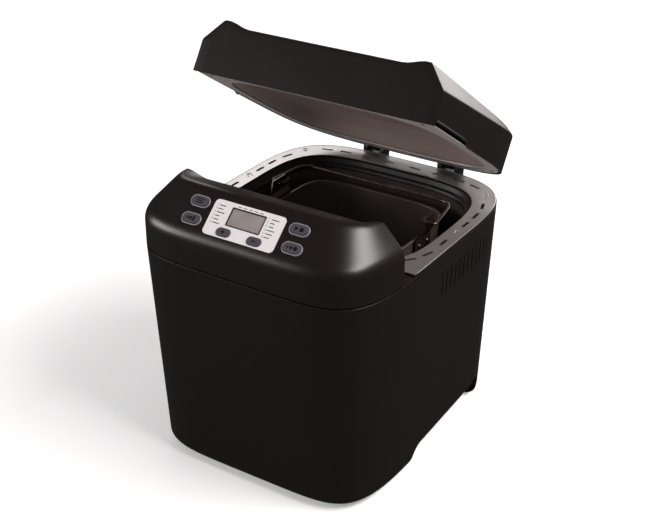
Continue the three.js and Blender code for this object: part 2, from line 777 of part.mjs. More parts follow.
// ---------------------------------------------------------------- rim and chamber
// Centres and turns of the dash slots on the right half of the rim, mirrored to the left.
function rimSlots() {
  const sideX = halfWidth - 10.4;
  const rearY = REAR_REACH - 18;
  const right = [
    [openHalf - 1, openFront + 27, 50],
    [sideX - 1.4, openFront + 46, 72],
    [sideX, openFront + 74.6, 90],
    [sideX, openRear - 80.3, 90],
    [sideX - 0.4, openRear - 58, 92],
    [sideX - 4.3, openRear - 34.7, 107],
    [halfWidth - 42.5, rearY - 5, 166],
    [halfWidth - 63, rearY, 172],
    [halfWidth - 90, rearY + 1, 178],
    [halfWidth - 117, rearY + 2, 180],
  ];
  const [long, wide] = [SLOT_LENGTH / 2, SLOT_WIDTH / 2];
  const dash = block(-long, long, -wide, wide, BODY_TOP, rimTop + OVERCUT);
  return joined(right.flatMap(([x, y, turn]) => [
    dash.rotate([0, 0, turn]).translate([x, y, 0]),
    dash.rotate([0, 0, -turn]).translate([-x, y, 0]),
  ]));
}

function rimPlate() {
  const bottom = BODY_TOP + GAP;
  const front = consoleBack + LID_SEAM - GAP;
  const heights = [bottom - OVERCUT, rimTop + OVERCUT];
  let plate = prism(bodyOutline(RIM_INSET), bottom, rimTop)
    .subtract(prism(chamberOutline(0), ...heights))
    .subtract(block(-halfWidth, halfWidth, -FRONT_REACH, front, ...heights));
  for (const side of [-1, 1]) {
    const span = between(side * (openHalf + NOTCH_EDGE), side * BODY_WIDTH);
    plate = plate.subtract(block(...span, front - OVERCUT, consoleBack + NOTCH_DEPTH, ...heights));
  }
  return plate.subtract(rimSlots());
}

function chamberCollar() {
  const top = BODY_TOP - 0.1;
  const bottom = BODY_TOP - COLLAR_DEPTH;
  const outer = loft([
    ring(chamberOutline(LINER_WALL - LINER_INSET), bottom),
    ring(chamberOutline(COLLAR_FLARE), bottom + LINER_INSET),
    ring(chamberOutline(COLLAR_FLARE), top),
  ]);
  const inner = loft([
    ring(chamberOutline(-LINER_INSET - LINER_WALL), bottom - 0.01),
    ring(chamberOutline(-0.8), top + 0.01),
  ]);
  return outer.subtract(inner);
}

function chamberLiner() {
  const top = BODY_TOP - COLLAR_DEPTH - GAP;
  const outer = prism(chamberOutline(-LINER_INSET), CHAMBER_FLOOR, top);
  const inner = prism(chamberOutline(-LINER_INSET - LINER_WALL), CHAMBER_FLOOR + LINER_WALL, top + OVERCUT);
  const shaftHole = rod(BEARING_RADIUS + 0.6, CHAMBER_FLOOR - OVERCUT, CHAMBER_FLOOR + OVERCUT);
  let liner = outer.subtract(inner).subtract(shaftHole.translate([0, panCentre, 0]));
  for (const side of [-1, 1]) {
    const hole = rod(ELEMENT_RADIUS + 1, -20, 20, SMALL_SIDES).rotate([90, 0, 0]);
    liner = liner.subtract(hole.translate([side * TERMINAL_X, openFront + LINER_INSET, elementLevel]));
  }
  return liner.subtract(crossRod(PROBE_RADIUS + 0.6, openHalf - 20, openHalf, PROBE_Y, probeLevel));
}

// The tip stands in the chamber, and the flange outside the liner's wall.
function temperatureProbe() {
  const wall = openHalf - LINER_INSET;
  const tip = crossRod(PROBE_RADIUS, wall - 14, wall + 5, PROBE_Y, probeLevel);
  return tip.add(crossRod(PROBE_FLANGE, wall + 1, wall + 5, PROBE_Y, probeLevel));
}

// A square loop of sheathed heating rod whose two ends pass out through the front wall.
function heatingElement() {
  const wall = chamberOutline(-LINER_INSET - LINER_WALL);
  const side = wall.half - ELEMENT_INSET;
  const near = ELEMENT_INSET - wall.front;
  const far = wall.rear - ELEMENT_INSET;
  const out = -wall.front - TERMINAL_REACH;
  const corners = [
    [TERMINAL_X, out],
    [TERMINAL_X, near],
    [side, near],
    [side, far],
    [-side, far],
    [-side, near],
    [-TERMINAL_X, near],
    [-TERMINAL_X, out],
  ].map(([x, y]) => new THREE.Vector3(x, y, elementLevel));
  return bentBar(corners, ELEMENT_RADIUS, ELEMENT_BEND, 44, 6);
}

function panSeatRing() {
  const base = CHAMBER_FLOOR + LINER_WALL + GAP;
  const profile = [[41, base], [54, base], [54, base + 2], [44, base + 2], [44, base + 11], [41, base + 11]];
  return turned([...profile, profile[0]]).translate([0, panCentre, 0]);
}

function addChamber(machine) {
  addPart(machine, 'rim_plate', rimPlate(), 'rim_silver');
  addPart(machine, 'chamber_collar', chamberCollar(), 'dark_plastic');
  addPart(machine, 'chamber_liner', chamberLiner(), 'nonstick');
  addPart(machine, 'heating_element', heatingElement(), 'steel');
  addPart(machine, 'temperature_probe', temperatureProbe(), 'brass');
  addPart(machine, 'pan_seat_ring', panSeatRing(), 'steel');
}

// ---------------------------------------------------------------- drive
function pulley(radius, bore) {
  const lip = BELT_THICKNESS + 1.4;
  const flange = 1.2;
  const low = beltLow - 0.5;
  const high = beltHigh + 0.5;
  const profile = [
    [bore, low - flange],
    [radius + lip, low - flange],
    [radius + lip, low],
    [radius, low],
    [radius, high],
    [radius + lip, high],
    [radius + lip, high + flange],
    [bore, high + flange],
  ];
  return turned([...profile, profile[0]], 28);
}

// The belt's plan: two arcs and the straight runs that touch both, at a distance off the pulleys.
function beltShape(Kind, off) {
  const span = panCentre - motorY;
  const big = DRIVEN_RADIUS + off;
  const small = MOTOR_PULLEY_RADIUS + off;
  const lean = Math.asin((big - small) / span);
  const outline = new Kind();
  outline.absarc(0, panCentre, big, -lean, Math.PI + lean);
  outline.absarc(0, motorY, small, Math.PI + lean, 2 * Math.PI - lean);
  return outline;
}

function driveBelt() {
  const shape = beltShape(THREE.Shape, RUNNING_GAP + BELT_THICKNESS);
  shape.holes.push(beltShape(THREE.Path, RUNNING_GAP));
  return solid(extruded(shape, beltLow, beltHigh, 16));
}

function chassisPlate() {
  const thickness = 2;
  const plate = block(
    -CHASSIS_HALF,
    CHASSIS_HALF,
    motorY - MOTOR_SIZE / 2,
    panCentre + 40,
    CHASSIS_LEVEL,
    CHASSIS_LEVEL + thickness,
  );
  const bearingHole = rod(BEARING_RADIUS + 0.5, CHASSIS_LEVEL - 1, CHASSIS_LEVEL + 5);
  const motorHole = rod(MOTOR_SHAFT_RADIUS + 3, CHASSIS_LEVEL - 1, CHASSIS_LEVEL + 5, SMALL_SIDES);
  return plate
    .subtract(bearingHole.translate([0, panCentre, 0]))
    .subtract(motorHole.translate([0, motorY, 0]));
}

function shaftBearing() {
  const bore = SHAFT_RADIUS + RUNNING_GAP;
  const flange = CHASSIS_LEVEL + 2 + GAP;
  const profile = [
    [bore, CHASSIS_LEVEL - 2.5],
    [BEARING_RADIUS, CHASSIS_LEVEL - 2.5],
    [BEARING_RADIUS, flange],
    [24, flange],
    [24, flange + 3],
    [BEARING_RADIUS, flange + 6],
    [BEARING_RADIUS, CHAMBER_FLOOR + 4],
    [bore, CHAMBER_FLOOR + 4],
  ];
  return turned([...profile, profile[0]]);
}

// A disc on the shaft with two posts that push the tabs of the paddle's shaft round.
function driveSocket() {
  const plate = tubeRing(SHAFT_RADIUS + GAP, SOCKET_RADIUS, CHAMBER_FLOOR + 5, socketFace);
  const post = rod(POST_RADIUS, socketFace - 1, PAN_FLOOR - 4.5, SMALL_SIDES);
  return joined([plate, post.translate([POST_OFFSET, 0, 0]), post.translate([-POST_OFFSET, 0, 0])]);
}

function motorBody() {
  const base = CHASSIS_LEVEL + 2 + GAP;
  const top = base + MOTOR_HEIGHT;
  const stack = solid(extruded(roundedRectangle(MOTOR_SIZE, MOTOR_SIZE, 12), base, top - 8));
  const bore = rod(MOTOR_SHAFT_RADIUS + RUNNING_GAP, base - 1, top - 6, SMALL_SIDES);
  return stack.add(rod(26, top - 9, top)).subtract(bore);
}

function addDrive(machine) {
  const shaftLine = new THREE.Group();
  shaftLine.position.set(0, panCentre, 0);
  machine.add(shaftLine);
  const lowEnd = beltLow - 5;
  addPart(shaftLine, 'shaft_bearing', shaftBearing(), 'brass');
  addPart(shaftLine, 'drive_shaft', rod(SHAFT_RADIUS, lowEnd, socketFace), 'steel');
  addPart(shaftLine, 'driven_pulley', pulley(DRIVEN_RADIUS, SHAFT_RADIUS + GAP), 'dark_plastic');
  addPart(shaftLine, 'drive_socket', driveSocket(), 'steel');

  const motorLine = new THREE.Group();
  motorLine.position.set(0, motorY, 0);
  machine.add(motorLine);
  addPart(motorLine, 'motor_body', motorBody(), 'steel');
  const rotorTop = CHASSIS_LEVEL + MOTOR_HEIGHT - 8;
  addPart(motorLine, 'motor_shaft', rod(MOTOR_SHAFT_RADIUS, lowEnd, rotorTop, SMALL_SIDES), 'steel');
  const motorPulley = pulley(MOTOR_PULLEY_RADIUS, MOTOR_SHAFT_RADIUS + GAP);
  addPart(motorLine, 'motor_pulley', motorPulley, 'dark_plastic');

  addPart(machine, 'drive_belt', driveBelt(), 'rubber');
  addPart(machine, 'chassis_plate', chassisPlate(), 'steel');
}

function addElectrics(machine) {
  const capacitorRadius = 15;
  const can = addPart(machine, 'motor_capacitor', rod(capacitorRadius, 9, 62), 'label_silver');
  can.position.set(CHASSIS_HALF + 5 + capacitorRadius, motorY, 0);
  const boardX = -MOTOR_SIZE / 2 - 28;
  const low = CHASSIS_LEVEL + 12;
  const board = block(-0.8, 0.8, -30, 30, low, low + 100);
  addPart(machine, 'power_board', board, 'board_green').position.set(boardX, motorY, 0);
  const core = block(1.2, 25, -17, 17, low + 18, low + 52);
  addPart(machine, 'transformer', core, 'dark_plastic').position.set(boardX, motorY, 0);
}

// ---------------------------------------------------------------- pan
function breadPan() {
  const outer = loft([
    ring(panOutline(PAN_DRAFT + PAN_CHINE), PAN_FLOOR, PAN_POINTS),
    ring(panOutline(PAN_DRAFT), PAN_FLOOR + PAN_CHINE_RISE, PAN_POINTS),
    ring(panOutline(0), panRim - 2, PAN_POINTS),
    ring(panOutline(-PAN_LIP), panRim - 2, PAN_POINTS),
    ring(panOutline(-PAN_LIP), panRim, PAN_POINTS),
  ]);
  const inner = loft([
    ring(panOutline(PAN_DRAFT + PAN_CHINE + PAN_WALL), PAN_FLOOR + PAN_WALL, PAN_POINTS),
    ring(panOutline(PAN_DRAFT + PAN_WALL), PAN_FLOOR + PAN_WALL + PAN_CHINE_RISE, PAN_POINTS),
    ring(panOutline(PAN_WALL), panRim + 1, PAN_POINTS),
  ]);
  const shaftHole = rod(PAN_SLEEVE_RADIUS + GAP, PAN_FLOOR - OVERCUT, PAN_FLOOR + OVERCUT);
  return outer.subtract(inner).subtract(shaftHole);
}

function panFootRing() {
  const top = PAN_FLOOR - 0.3;
  const low = top - 15.5;
  const profile = [[35, low], [38.5, low], [38.5, top - 2], [46, top - 2], [46, top], [35, top]];
  return turned([...profile, profile[0]]);
}

function panBearing() {
  const bore = SHAFT_RADIUS + RUNNING_GAP;
  const flange = PAN_FLOOR - 0.3;
  const top = PAN_FLOOR + 6;
  const sleeve = PAN_SLEEVE_RADIUS;
  const plate = sleeve * 2;
  const profile = [
    [bore, flange - 3],
    [plate, flange - 3],
    [plate, flange],
    [sleeve, flange],
    [sleeve, top],
    [bore, top],
  ];
  return turned([...profile, profile[0]]);
}

// A riveted bracket that steps outwards above the rim and carries the bail's end.
function bailEar() {
  const inner = panHalf + PAN_LIP + GAP;
  const step = EAR_STEP;
  const sheet = EAR_SHEET;
  const top = bailLevel + 5;
  const low = panRim - 17;
  const shape = new THREE.Shape();
  shape.moveTo(inner, low);
  shape.lineTo(inner + sheet, low);
  shape.lineTo(inner + sheet, panRim + 1);
  shape.lineTo(inner + sheet + step, panRim + 6);
  shape.lineTo(inner + sheet + step, top);
  shape.lineTo(inner + step, top);
  shape.lineTo(inner + step, panRim + 6);
  shape.lineTo(inner, panRim + 1);
  const plate = solid(extruded(shape, -EAR_WIDTH / 2, EAR_WIDTH / 2)).rotate([90, 0, 0]);
  const hole = crossRod(BAIL_WIRE / 2 + GAP, inner, inner + 10, 0, bailLevel);
  const rivets = [-RIVET_SPREAD, RIVET_SPREAD].map(
    (y) => crossRod(RIVET_RADIUS, panHalf + 0.7, inner + sheet + 0.9, y, panRim - 9),
  );
  return joined([plate.subtract(hole), ...rivets]);
}

// A wire bow that lies back over the pan's rear rim, each end hooked inwards through its ear.
function bailHandle() {
  const legX = panHalf + 16;
  const tipX = panHalf + 1;
  const crossX = legX - 8;
  const side = (sign) => [
    new THREE.Vector3(sign * tipX, 9, 1),
    new THREE.Vector3(sign * tipX, 0, 0),
    new THREE.Vector3(sign * legX, 0, 0),
    new THREE.Vector3(sign * crossX, BAIL_LENGTH, 1),
  ];
  return bentBar([...side(1), ...side(-1).reverse()], BAIL_WIRE / 2, 4, 56, 6);
}

function kneadingPaddle() {
  const low = PAN_FLOOR + 6.5;
  const top = low + 24;
  const bore = SHAFT_RADIUS + GAP;
  const hubProfile = [[bore, low], [9.5, low], [8, top], [0, top], [0, top - 4], [bore, top - 4]];
  const hub = turned([...hubProfile, hubProfile[0]]);
  const blade = new THREE.Shape();
  blade.moveTo(6, low + 1);
  blade.lineTo(12, low + 1);
  blade.lineTo(13, low - 3);
  blade.lineTo(42, low - 3);
  blade.quadraticCurveTo(42, low + 8, 30, low + 14);
  blade.quadraticCurveTo(18, low + 20, 6, low + 20);
  const fin = solid(extruded(blade, -2.2, 2.2)).rotate([90, 0, 0]);
  return hub.add(fin.subtract(rod(bore + 0.5, low - 1, top - 4)));
}

function paddleShaft() {
  const low = socketFace + 1.5;
  const high = PAN_FLOOR - 5;
  return joined([
    rod(SHAFT_RADIUS, low, PAN_FLOOR + 26),
    rod(6, low, high),
    block(-2.6, 2.6, -13, 13, low, high),
  ]);
}

function addPan(machine) {
  const pan = new THREE.Group();
  pan.position.set(0, panCentre, 0);
  machine.add(pan);
  addPart(pan, 'bread_pan', breadPan(), 'nonstick');
  addPart(pan, 'pan_foot_ring', panFootRing(), 'steel');
  addPart(pan, 'pan_bearing', panBearing(), 'brass');
  const ear = bailEar();
  addPart(pan, 'bail_ear_right', ear, 'steel');
  addPart(pan, 'bail_ear_left', ear.rotate([0, 0, 180]), 'steel');
  const bail = addPart(pan, 'bail_handle', bailHandle(), 'steel');
  bail.position.set(0, 0, bailLevel);
  addPart(pan, 'paddle_shaft', paddleShaft(), 'steel');
  addPart(pan, 'kneading_paddle', kneadingPaddle(), 'nonstick');
}

// ---------------------------------------------------------------- lid
const lidShare = (y) => (y - lidFront) / (REAR_REACH - lidFront);
const lidChamfer = (y) => blend(SIDE_CHAMFER, LID_REAR_CHAMFER, lidShare(y));
const lidWallTop = (y) => BODY_TOP + LID_WALL_TOP + LID_WALL_SLOPE * (y - lidFront);

function lidTop(x, y) {
  const middle = blend(DIP_RISE, LID_REAR_TOP, lidShare(y));
  const edge = blend(HORN_RISE, LID_REAR_TOP + 1, lidShare(y));
  const share = (Math.abs(x) / (halfWidth - lidChamfer(y)) - 0.75) / 0.2;
  return BODY_TOP + blend(middle, edge, smooth(share));
}

// The lid's plan: the body's outline behind the seam, closed by a straight front edge.
function lidPlan(inset) {
  const outline = bodyOutline(inset);
  const front = lidFront + inset;
  const cut = Math.asin((-front / outline.front) ** (FRONT_SQUARENESS / 2));
  const arcSteps = 30;
  const edgeSteps = 14;
  const plan = [];
  for (let i = 0; i <= arcSteps; i += 1) {
    plan.push(outlinePoint(outline, -cut + (i / arcSteps) * (Math.PI + 2 * cut)));
  }
  const cornerX = plan[0].x;
  for (let i = 1; i < edgeSteps; i += 1) {
    plan.push(new THREE.Vector2(cornerX * ((2 * i) / edgeSteps - 1), front));
  }
  return plan;
}

function lidSolid(inset, bottom) {
  const plan = lidPlan(inset);
  const level = (heightAt) => plan.map((flat) => new THREE.Vector3(flat.x, flat.y, heightAt(flat)));
  const chamfered = plan.map((flat) => {
    const x = flat.x * (1 - lidChamfer(flat.y) / halfWidth);
    const y = flat.y > 0 ? flat.y * (1 - LID_REAR_CHAMFER / REAR_REACH) : flat.y;
    return new THREE.Vector2(x, y);
  });
  const rings = [
    level(() => bottom),
    level((flat) => lidWallTop(flat.y) - inset * 0.5),
  ];
  for (const share of [1, 0.93, 0.85, 0.75, 0.4]) {
    rings.push(chamfered.map((flat) => {
      const x = flat.x * share;
      const y = blend(10, flat.y, share);
      return new THREE.Vector3(x, y, lidTop(x, y) - inset);
    }));
  }
  return loft(rings);
}

const LID_SCREWS = [
  ['front_left', 17 - halfWidth, lidFront + 13],
  ['front_right', halfWidth - 17, lidFront + 13],
  ['rear_left', 21 - halfWidth, REAR_REACH - 36],
  ['rear_right', halfWidth - 21, REAR_REACH - 36],
];

function lidShell() {
  const outer = lidSolid(0, lidBottom);
  let shell = outer.subtract(lidSolid(LID_WALL, lidBottom - 5));
  for (const [, x, y] of LID_SCREWS) {
    const boss = rod(4.5, lidBottom + 3.4, lidBottom + 80, SMALL_SIDES).translate([x, y, 0]);
    const bore = rod(SCREW_RADIUS + GAP, lidBottom, lidBottom + SCREW_LENGTH + 3, SMALL_SIDES);
    shell = shell.add(boss.intersect(outer)).subtract(bore.translate([x, y, 0]));
  }
  const scoopFront = lidFront + 3.5;
  const scoop = block(
    halfWidth - 8,
    halfWidth + 5,
    scoopFront,
    scoopFront + SCOOP_LENGTH,
    lidBottom - 1,
    lidBottom + SCOOP_HEIGHT,
  );
  shell = shell.subtract(scoop).subtract(scoop.mirror([1, 0, 0]));
  for (const side of [-1, 1]) {
    const x = side * HINGE_X;
    const arm = block(x - ARM_HALF, x + ARM_HALF, REAR_REACH - 1.6, hingeY, hingeZ - 2.6, hingeZ + 4.2);
    const barrel = crossRod(5, x - ARM_HALF, x + ARM_HALF, hingeY, hingeZ, ROUND_SIDES);
    const bore = crossRod(HINGE_PIN_RADIUS + GAP, x - 20, x + 20, hingeY, hingeZ);
    shell = shell.add(arm).add(barrel).subtract(bore);
  }
  return shell;
}

function planPrism(plan, z0, z1) {
  return loft([z0, z1].map((z) => plan.map((flat) => new THREE.Vector3(flat.x, flat.y, z))));
}

function lidInnerPlate() {
  const low = lidBottom + GAP;
  const high = low + LID_SHEET;
  let plate = planPrism(lidPlan(LID_WALL + GAP + 0.2), low, high);
  plate = plate.subtract(prism(chamberOutline(1 - DISH_INSET), low - 1, high + 1));
  for (const [, x, y] of LID_SCREWS) {
    const hole = rod(SCREW_HEAD + 0.5, low - 1, high + 1, SMALL_SIDES);
    plate = plate.subtract(hole.translate([x, y, 0]));
  }
  return plate;
}

// The dished steel shield above the loaf, with a flange that rests on the border plate.
function lidReflector() {
  const low = lidBottom + GAP + LID_SHEET + GAP;
  const sheet = LID_SHEET;
  const top = low + DISH_DEPTH;
  const outer = loft([
    ring(chamberOutline(6 - DISH_INSET), low),
    ring(chamberOutline(6 - DISH_INSET), low + sheet),
    ring(chamberOutline(sheet - DISH_INSET), low + sheet),
    ring(chamberOutline(-DISH_INSET - 7), top - 8),
    ring(chamberOutline(-DISH_INSET - 20), top),
  ]);
  const inner = loft([
    ring(chamberOutline(-DISH_INSET), low - 1),
    ring(chamberOutline(-DISH_INSET - 7 - sheet), top - 8 - sheet * 0.5),
    ring(chamberOutline(-DISH_INSET - 20 - sheet), top - sheet),
  ]);
  return outer.subtract(inner);
}

function lidScrew() {
  const low = lidBottom + GAP + 0.1;
  const profile = [
    [0, low],
    [SCREW_HEAD, low],
    [SCREW_HEAD, low + 1.6],
    [SCREW_RADIUS, low + 2.2],
    [SCREW_RADIUS, low + SCREW_LENGTH],
    [0, low + SCREW_LENGTH],
  ];
  return turned(profile, SMALL_SIDES);
}

function addLid(machine) {
  const hinge = new THREE.Group();
  hinge.position.set(0, hingeY, hingeZ);
  hinge.rotation.x = -THREE.MathUtils.degToRad(LID_OPEN_ANGLE);
  machine.add(hinge);
  const closed = new THREE.Group();
  closed.position.set(0, -hingeY, -hingeZ);
  hinge.add(closed);
  addPart(closed, 'lid_shell', lidShell(), 'black_plastic');
  addPart(closed, 'lid_inner_plate', lidInnerPlate(), 'rim_silver');
  addPart(closed, 'lid_reflector', lidReflector(), 'lid_steel');
  for (const [corner, x, y] of LID_SCREWS) {
    addPart(closed, `lid_screw_${corner}`, lidScrew(), 'steel').position.set(x, y, 0);
  }
}

// A clevis behind the body's rear wall that carries the hinge pin on both sides of the lid's arm.
function hingeBracket() {
  const face = REAR_REACH + 0.6 - hingeY;
  const base = 23;
  const shape = new THREE.Shape();
  shape.moveTo(face, -base);
  shape.lineTo(LUG_RADIUS - 2, -base);
  shape.lineTo(LUG_RADIUS, 0);
  shape.absarc(0, 0, LUG_RADIUS, 0, Math.PI);
  shape.lineTo(-LUG_RADIUS, -LUG_RADIUS);
  shape.lineTo(face, -LUG_RADIUS);
  const half = ARM_HALF + 5.6;
  const clevis = extrudedAlongX(shape, -half, half);
  const throat = block(-ARM_HALF - GAP, ARM_HALF + GAP, face - 1, 12, -7.4, 12);
  return clevis.subtract(throat).subtract(crossRod(HINGE_PIN_RADIUS + GAP, -20, 20, 0, 0));
}

function addHinges(machine) {
  for (const [side, x] of [['left', -HINGE_X], ['right', HINGE_X]]) {
    const half = ARM_HALF + 6.6;
    const bracket = addPart(machine, `hinge_bracket_${side}`, hingeBracket(), 'dark_plastic');
    bracket.position.set(x, hingeY, hingeZ);
    const pin = addPart(machine, `hinge_pin_${side}`, crossRod(HINGE_PIN_RADIUS, -half, half, 0, 0), 'steel');
    pin.position.set(x, hingeY, hingeZ);
  }
}

// ---------------------------------------------------------------- the whole machine
const machine = new THREE.Group();
addBody(machine);
addConsole(machine);
addChamber(machine);
addDrive(machine);
addElectrics(machine);
addPan(machine);
addLid(machine);
addHinges(machine);

machine.updateMatrixWorld(true);
const extent = new THREE.Box3().setFromObject(machine, true);
machine.position.set(0, -(extent.min.y + extent.max.y) / 2, -extent.min.z);

export default machine;
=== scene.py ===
"""Surfaces, finishes and stage for a countertop bread machine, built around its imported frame."""

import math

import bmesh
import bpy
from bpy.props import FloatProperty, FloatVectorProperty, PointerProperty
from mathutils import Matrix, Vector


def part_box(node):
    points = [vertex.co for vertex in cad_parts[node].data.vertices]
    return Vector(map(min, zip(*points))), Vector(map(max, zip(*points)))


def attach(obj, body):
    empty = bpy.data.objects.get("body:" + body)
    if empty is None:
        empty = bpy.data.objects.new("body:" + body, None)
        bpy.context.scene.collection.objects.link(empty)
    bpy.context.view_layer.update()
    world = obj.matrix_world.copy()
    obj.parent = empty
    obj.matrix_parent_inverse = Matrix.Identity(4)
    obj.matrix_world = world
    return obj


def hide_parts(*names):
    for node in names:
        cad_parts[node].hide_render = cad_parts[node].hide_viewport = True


bl_info = {
    "name": "Bread Machine",
    "version": (1, 0, 0),
    "blender": (4, 5, 0),
    "location": "3D View > Sidebar > Bread Machine",
    "description": "Models and finishes a countertop bread machine piece by piece",
    "category": "Object",
}

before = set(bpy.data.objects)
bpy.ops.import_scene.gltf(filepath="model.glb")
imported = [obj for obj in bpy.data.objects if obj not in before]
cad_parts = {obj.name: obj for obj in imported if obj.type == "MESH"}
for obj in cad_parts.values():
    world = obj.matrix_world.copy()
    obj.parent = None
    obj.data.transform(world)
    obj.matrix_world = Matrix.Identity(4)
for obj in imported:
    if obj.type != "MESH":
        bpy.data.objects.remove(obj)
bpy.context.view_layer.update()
body_low, body_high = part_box("body_shell")

# Lengths are millimetres in the machine's own frame, whose Y is zero where the body is widest, apart
# from the camera's place, which is in metres.
MM = 0.001
FRONT_REACH = 189.6
BODY_BOTTOM = 2.0
FRONT_SQUARENESS = 5.9
REAR_SQUARENESS = 3.95
FLOOR_SCALE_SIDE = 0.943
FLOOR_SCALE_FRONT = 0.938
BOTTOM_ROUNDING = 14.6
GAP = 0.4
SEAM = 0.9
CONSOLE_BACK = -112.4
RIDGE_RISE = 68.5
HORN_RISE = 57.5
DIP_RISE = 52.3
WALL_RISE = 33.9
RIDGE_SETBACK = 38.9
SIDE_CHAMFER = 19.7
CHAMBER_SQUARENESS = 3.8
CHAMBER_FRONT = 95.7
CHAMBER_REAR_RIM = 26.1
CHAMBER_FLOOR = 60.0
ROD_RADIUS = 3.3
ROD_NEAR = -74.6
ROD_TAIL = 46
PAN_FLOOR = 82.0
PAN_CENTRE = 10.0
PAN_DROP = 13.5
PAN_HALF_WIDTH = 81.2
PAN_HALF_DEPTH = 63.2
PAN_SQUARENESS = 5.0
BAIL_RISE = 1.5
SLOPE = math.atan2(RIDGE_RISE - WALL_RISE, RIDGE_SETBACK)
PLATE_FROM_FRONT = 18.3
LABEL_RECESS = 0.9
# Share of the half width at which the ridge and the lid start to rise, and how far that rise takes.
HORN_START, HORN_SPAN = 0.75, 0.2

# Centres of the outer buttons and of the plus and minus buttons on the panel.
OUTER_BUTTONS = {
    "menu": (-54.2, 10.5),
    "colour": (-55.2, -7.7),
    "start": (54.2, 10.5),
    "weight": (55.2, -7.7),
}
STEP_BUTTONS = {"plus": (-16.8, -12.0), "minus": (16.8, -12.0)}
RING_SIZE = (21.4, 11.8)
RING_BAND = 1.3
RING_RECESS = 1.2
STEP_SIZE = (15.8, 8.6)
KEY_FOOT, KEY_TOP = -6.8, 1.5
LCD_UP = 4.2

VENT_COUNT = 12
VENT_PITCH = 8.8
VENT_START = -38
VENT_DROP = 44.5
VENT_SIZE = (1.8, 23)

RIM_THICKNESS = 2
RIM_SKIN = 0.9
RIM_FRONT = CONSOLE_BACK + 2.5
NOTCH_HALF = 115
NOTCH_BACK = CONSOLE_BACK + 20.9
RIM_SLOT_SIZE = (13.6, 3.2)
# Centre and turn of each slot in the rim's right half.
RIM_SLOTS = (
    (112.4, -68.7, 50),
    (121.2, -49.7, 72),
    (122.6, -21.1, 90),
    (122.6, 24.5, 90),
    (122.2, 46.8, 92),
    (118.3, 70.1, 107),
    (90.5, 107.9, 166),
    (70.0, 112.9, 172),
    (43.0, 113.9, 178),
    (16.0, 114.9, 180),
)

HINGE_X = 46.0
HINGE_BEHIND = 7.7
HINGE_RISE = 5.9
LID_OPEN = math.radians(33.5)
LID_FRONT = CONSOLE_BACK + 2.9
LID_RAISED = 2.9
LID_REAR_MIDDLE = 44
LID_REAR_EDGE = 45
REAR_CHAMFER = 4
SCOOP_START = LID_FRONT + 3.5
SCOOP_RISE = 5
LID_SCREWS = {
    "front_left": (-116.0, -96.5),
    "front_right": (116.0, -96.5),
    "rear_left": (-112.0, 94.9),
    "rear_right": (112.0, 94.9),
}

# Walls of the pressed sheet parts, and the distance below which two corners become one.
PRESSED_WALL = 1.2
MERGE = 0.002
SMOOTH_ANGLE = math.radians(35)

CAMERA_PLACE = (0.6174, -0.9792, 0.7935)
CAMERA_AZIMUTH = math.radians(32.761)
CAMERA_ELEVATION = math.radians(27.977)
CAMERA_LENS = 71.46
FLOOR_GLOW = 0.25
# The surround's strength to the camera, and what is left of it as light and in reflections.
WORLD_SEEN, WORLD_LIGHT, WORLD_REFLECTED = 1.0, 0.42, 0.04


def linear(red, green, blue):
    """A display colour from 0 to 255 as linear light."""
    return tuple(
        (c / 255 / 12.92) if c < 11 else ((c / 255 + 0.055) / 1.055) ** 2.4
        for c in (red, green, blue)
    )


def length_property(name, description, default):
    return FloatProperty(
        name=name, description=description, default=default, min=0.0001, unit="LENGTH", precision=4
    )


def colour_property(name, description, default):
    return FloatVectorProperty(
        name=name, description=description, default=default, size=3, min=0.0, max=1.0, subtype="COLOR"
    )


class BreadMachineSizes(bpy.types.PropertyGroup):
    """The machine's main sizes."""

    body_width: length_property("Body width", "Widest width of the body", body_high.x - body_low.x)
    body_top: length_property("Body top", "Height of the seam under the console", body_high.z)
    rear_reach: length_property("Rear reach", "From the widest line to the rear wall", 0.1309)
    shell_wall: length_property("Shell wall", "Thickness of the moulded walls", 0.0025)
    rim_width: length_property("Rim width", "Width of the silver rim at the sides", 0.0196)
    plate_width: length_property("Label plate width", "Width of the silver label plate", 0.0772)
    plate_height: length_property("Label plate height", "Height of the label plate up the slope", 0.0354)
    lcd_width: length_property("Display width", "Width of the display window", 0.0362)
    lcd_height: length_property("Display height", "Height of the display window", 0.0176)
    bail_wire: length_property("Bail wire", "Diameter of the pan's handle wire", 0.0032)


class BreadMachineFinishes(bpy.types.PropertyGroup):
    """The machine's colours."""

    plastic: colour_property("Body plastic", "Satin black of body, console and lid", linear(20, 15, 14))
    trim: colour_property("Trim plastic", "Darker plastic of the collar and hinges", linear(20, 18, 17))
    silver: colour_property("Rim silver", "Silver of the slotted rim", linear(196, 194, 193))
    label: colour_property("Label silver", "Pale silver of the label plate", linear(200, 196, 197))
    screen: colour_property("Display grey", "Grey of the display window", linear(122, 115, 115))
    button: colour_property("Button grey", "Grey of the buttons", linear(58, 57, 62))
    ring: colour_property("Ring grey", "Pale grey of the outer buttons' rings", linear(118, 117, 122))
    ink: colour_property("Ink", "Dark print on buttons and label plate", linear(13, 12, 14))
    nonstick: colour_property("Non-stick coating", "Coat of pan, paddle and chamber", linear(72, 64, 60))
    dish: colour_property("Dish metal", "Metal of the dish inside the lid", linear(140, 124, 119))
    border: colour_property("Border plate", "Pale plate under the lid", linear(160, 153, 151))
    bronze: colour_property("Dark wire", "Darkened steel of bail and brackets", linear(92, 80, 76))
    steel: colour_property("Steel", "Screws, rings, shafts and heating rod", linear(190, 188, 188))
    rubber: colour_property("Rubber", "Feet and lead gland", linear(24, 24, 24))
    board: colour_property("Circuit board", "Green of the circuit boards", linear(47, 90, 58))
    brass: colour_property("Brass", "Bearings and probe", linear(168, 138, 74))
    floor: colour_property("Floor", "Pale studio floor", (0.72, 0.72, 0.72))


def sizes():
    return bpy.context.scene.bread_machine_sizes


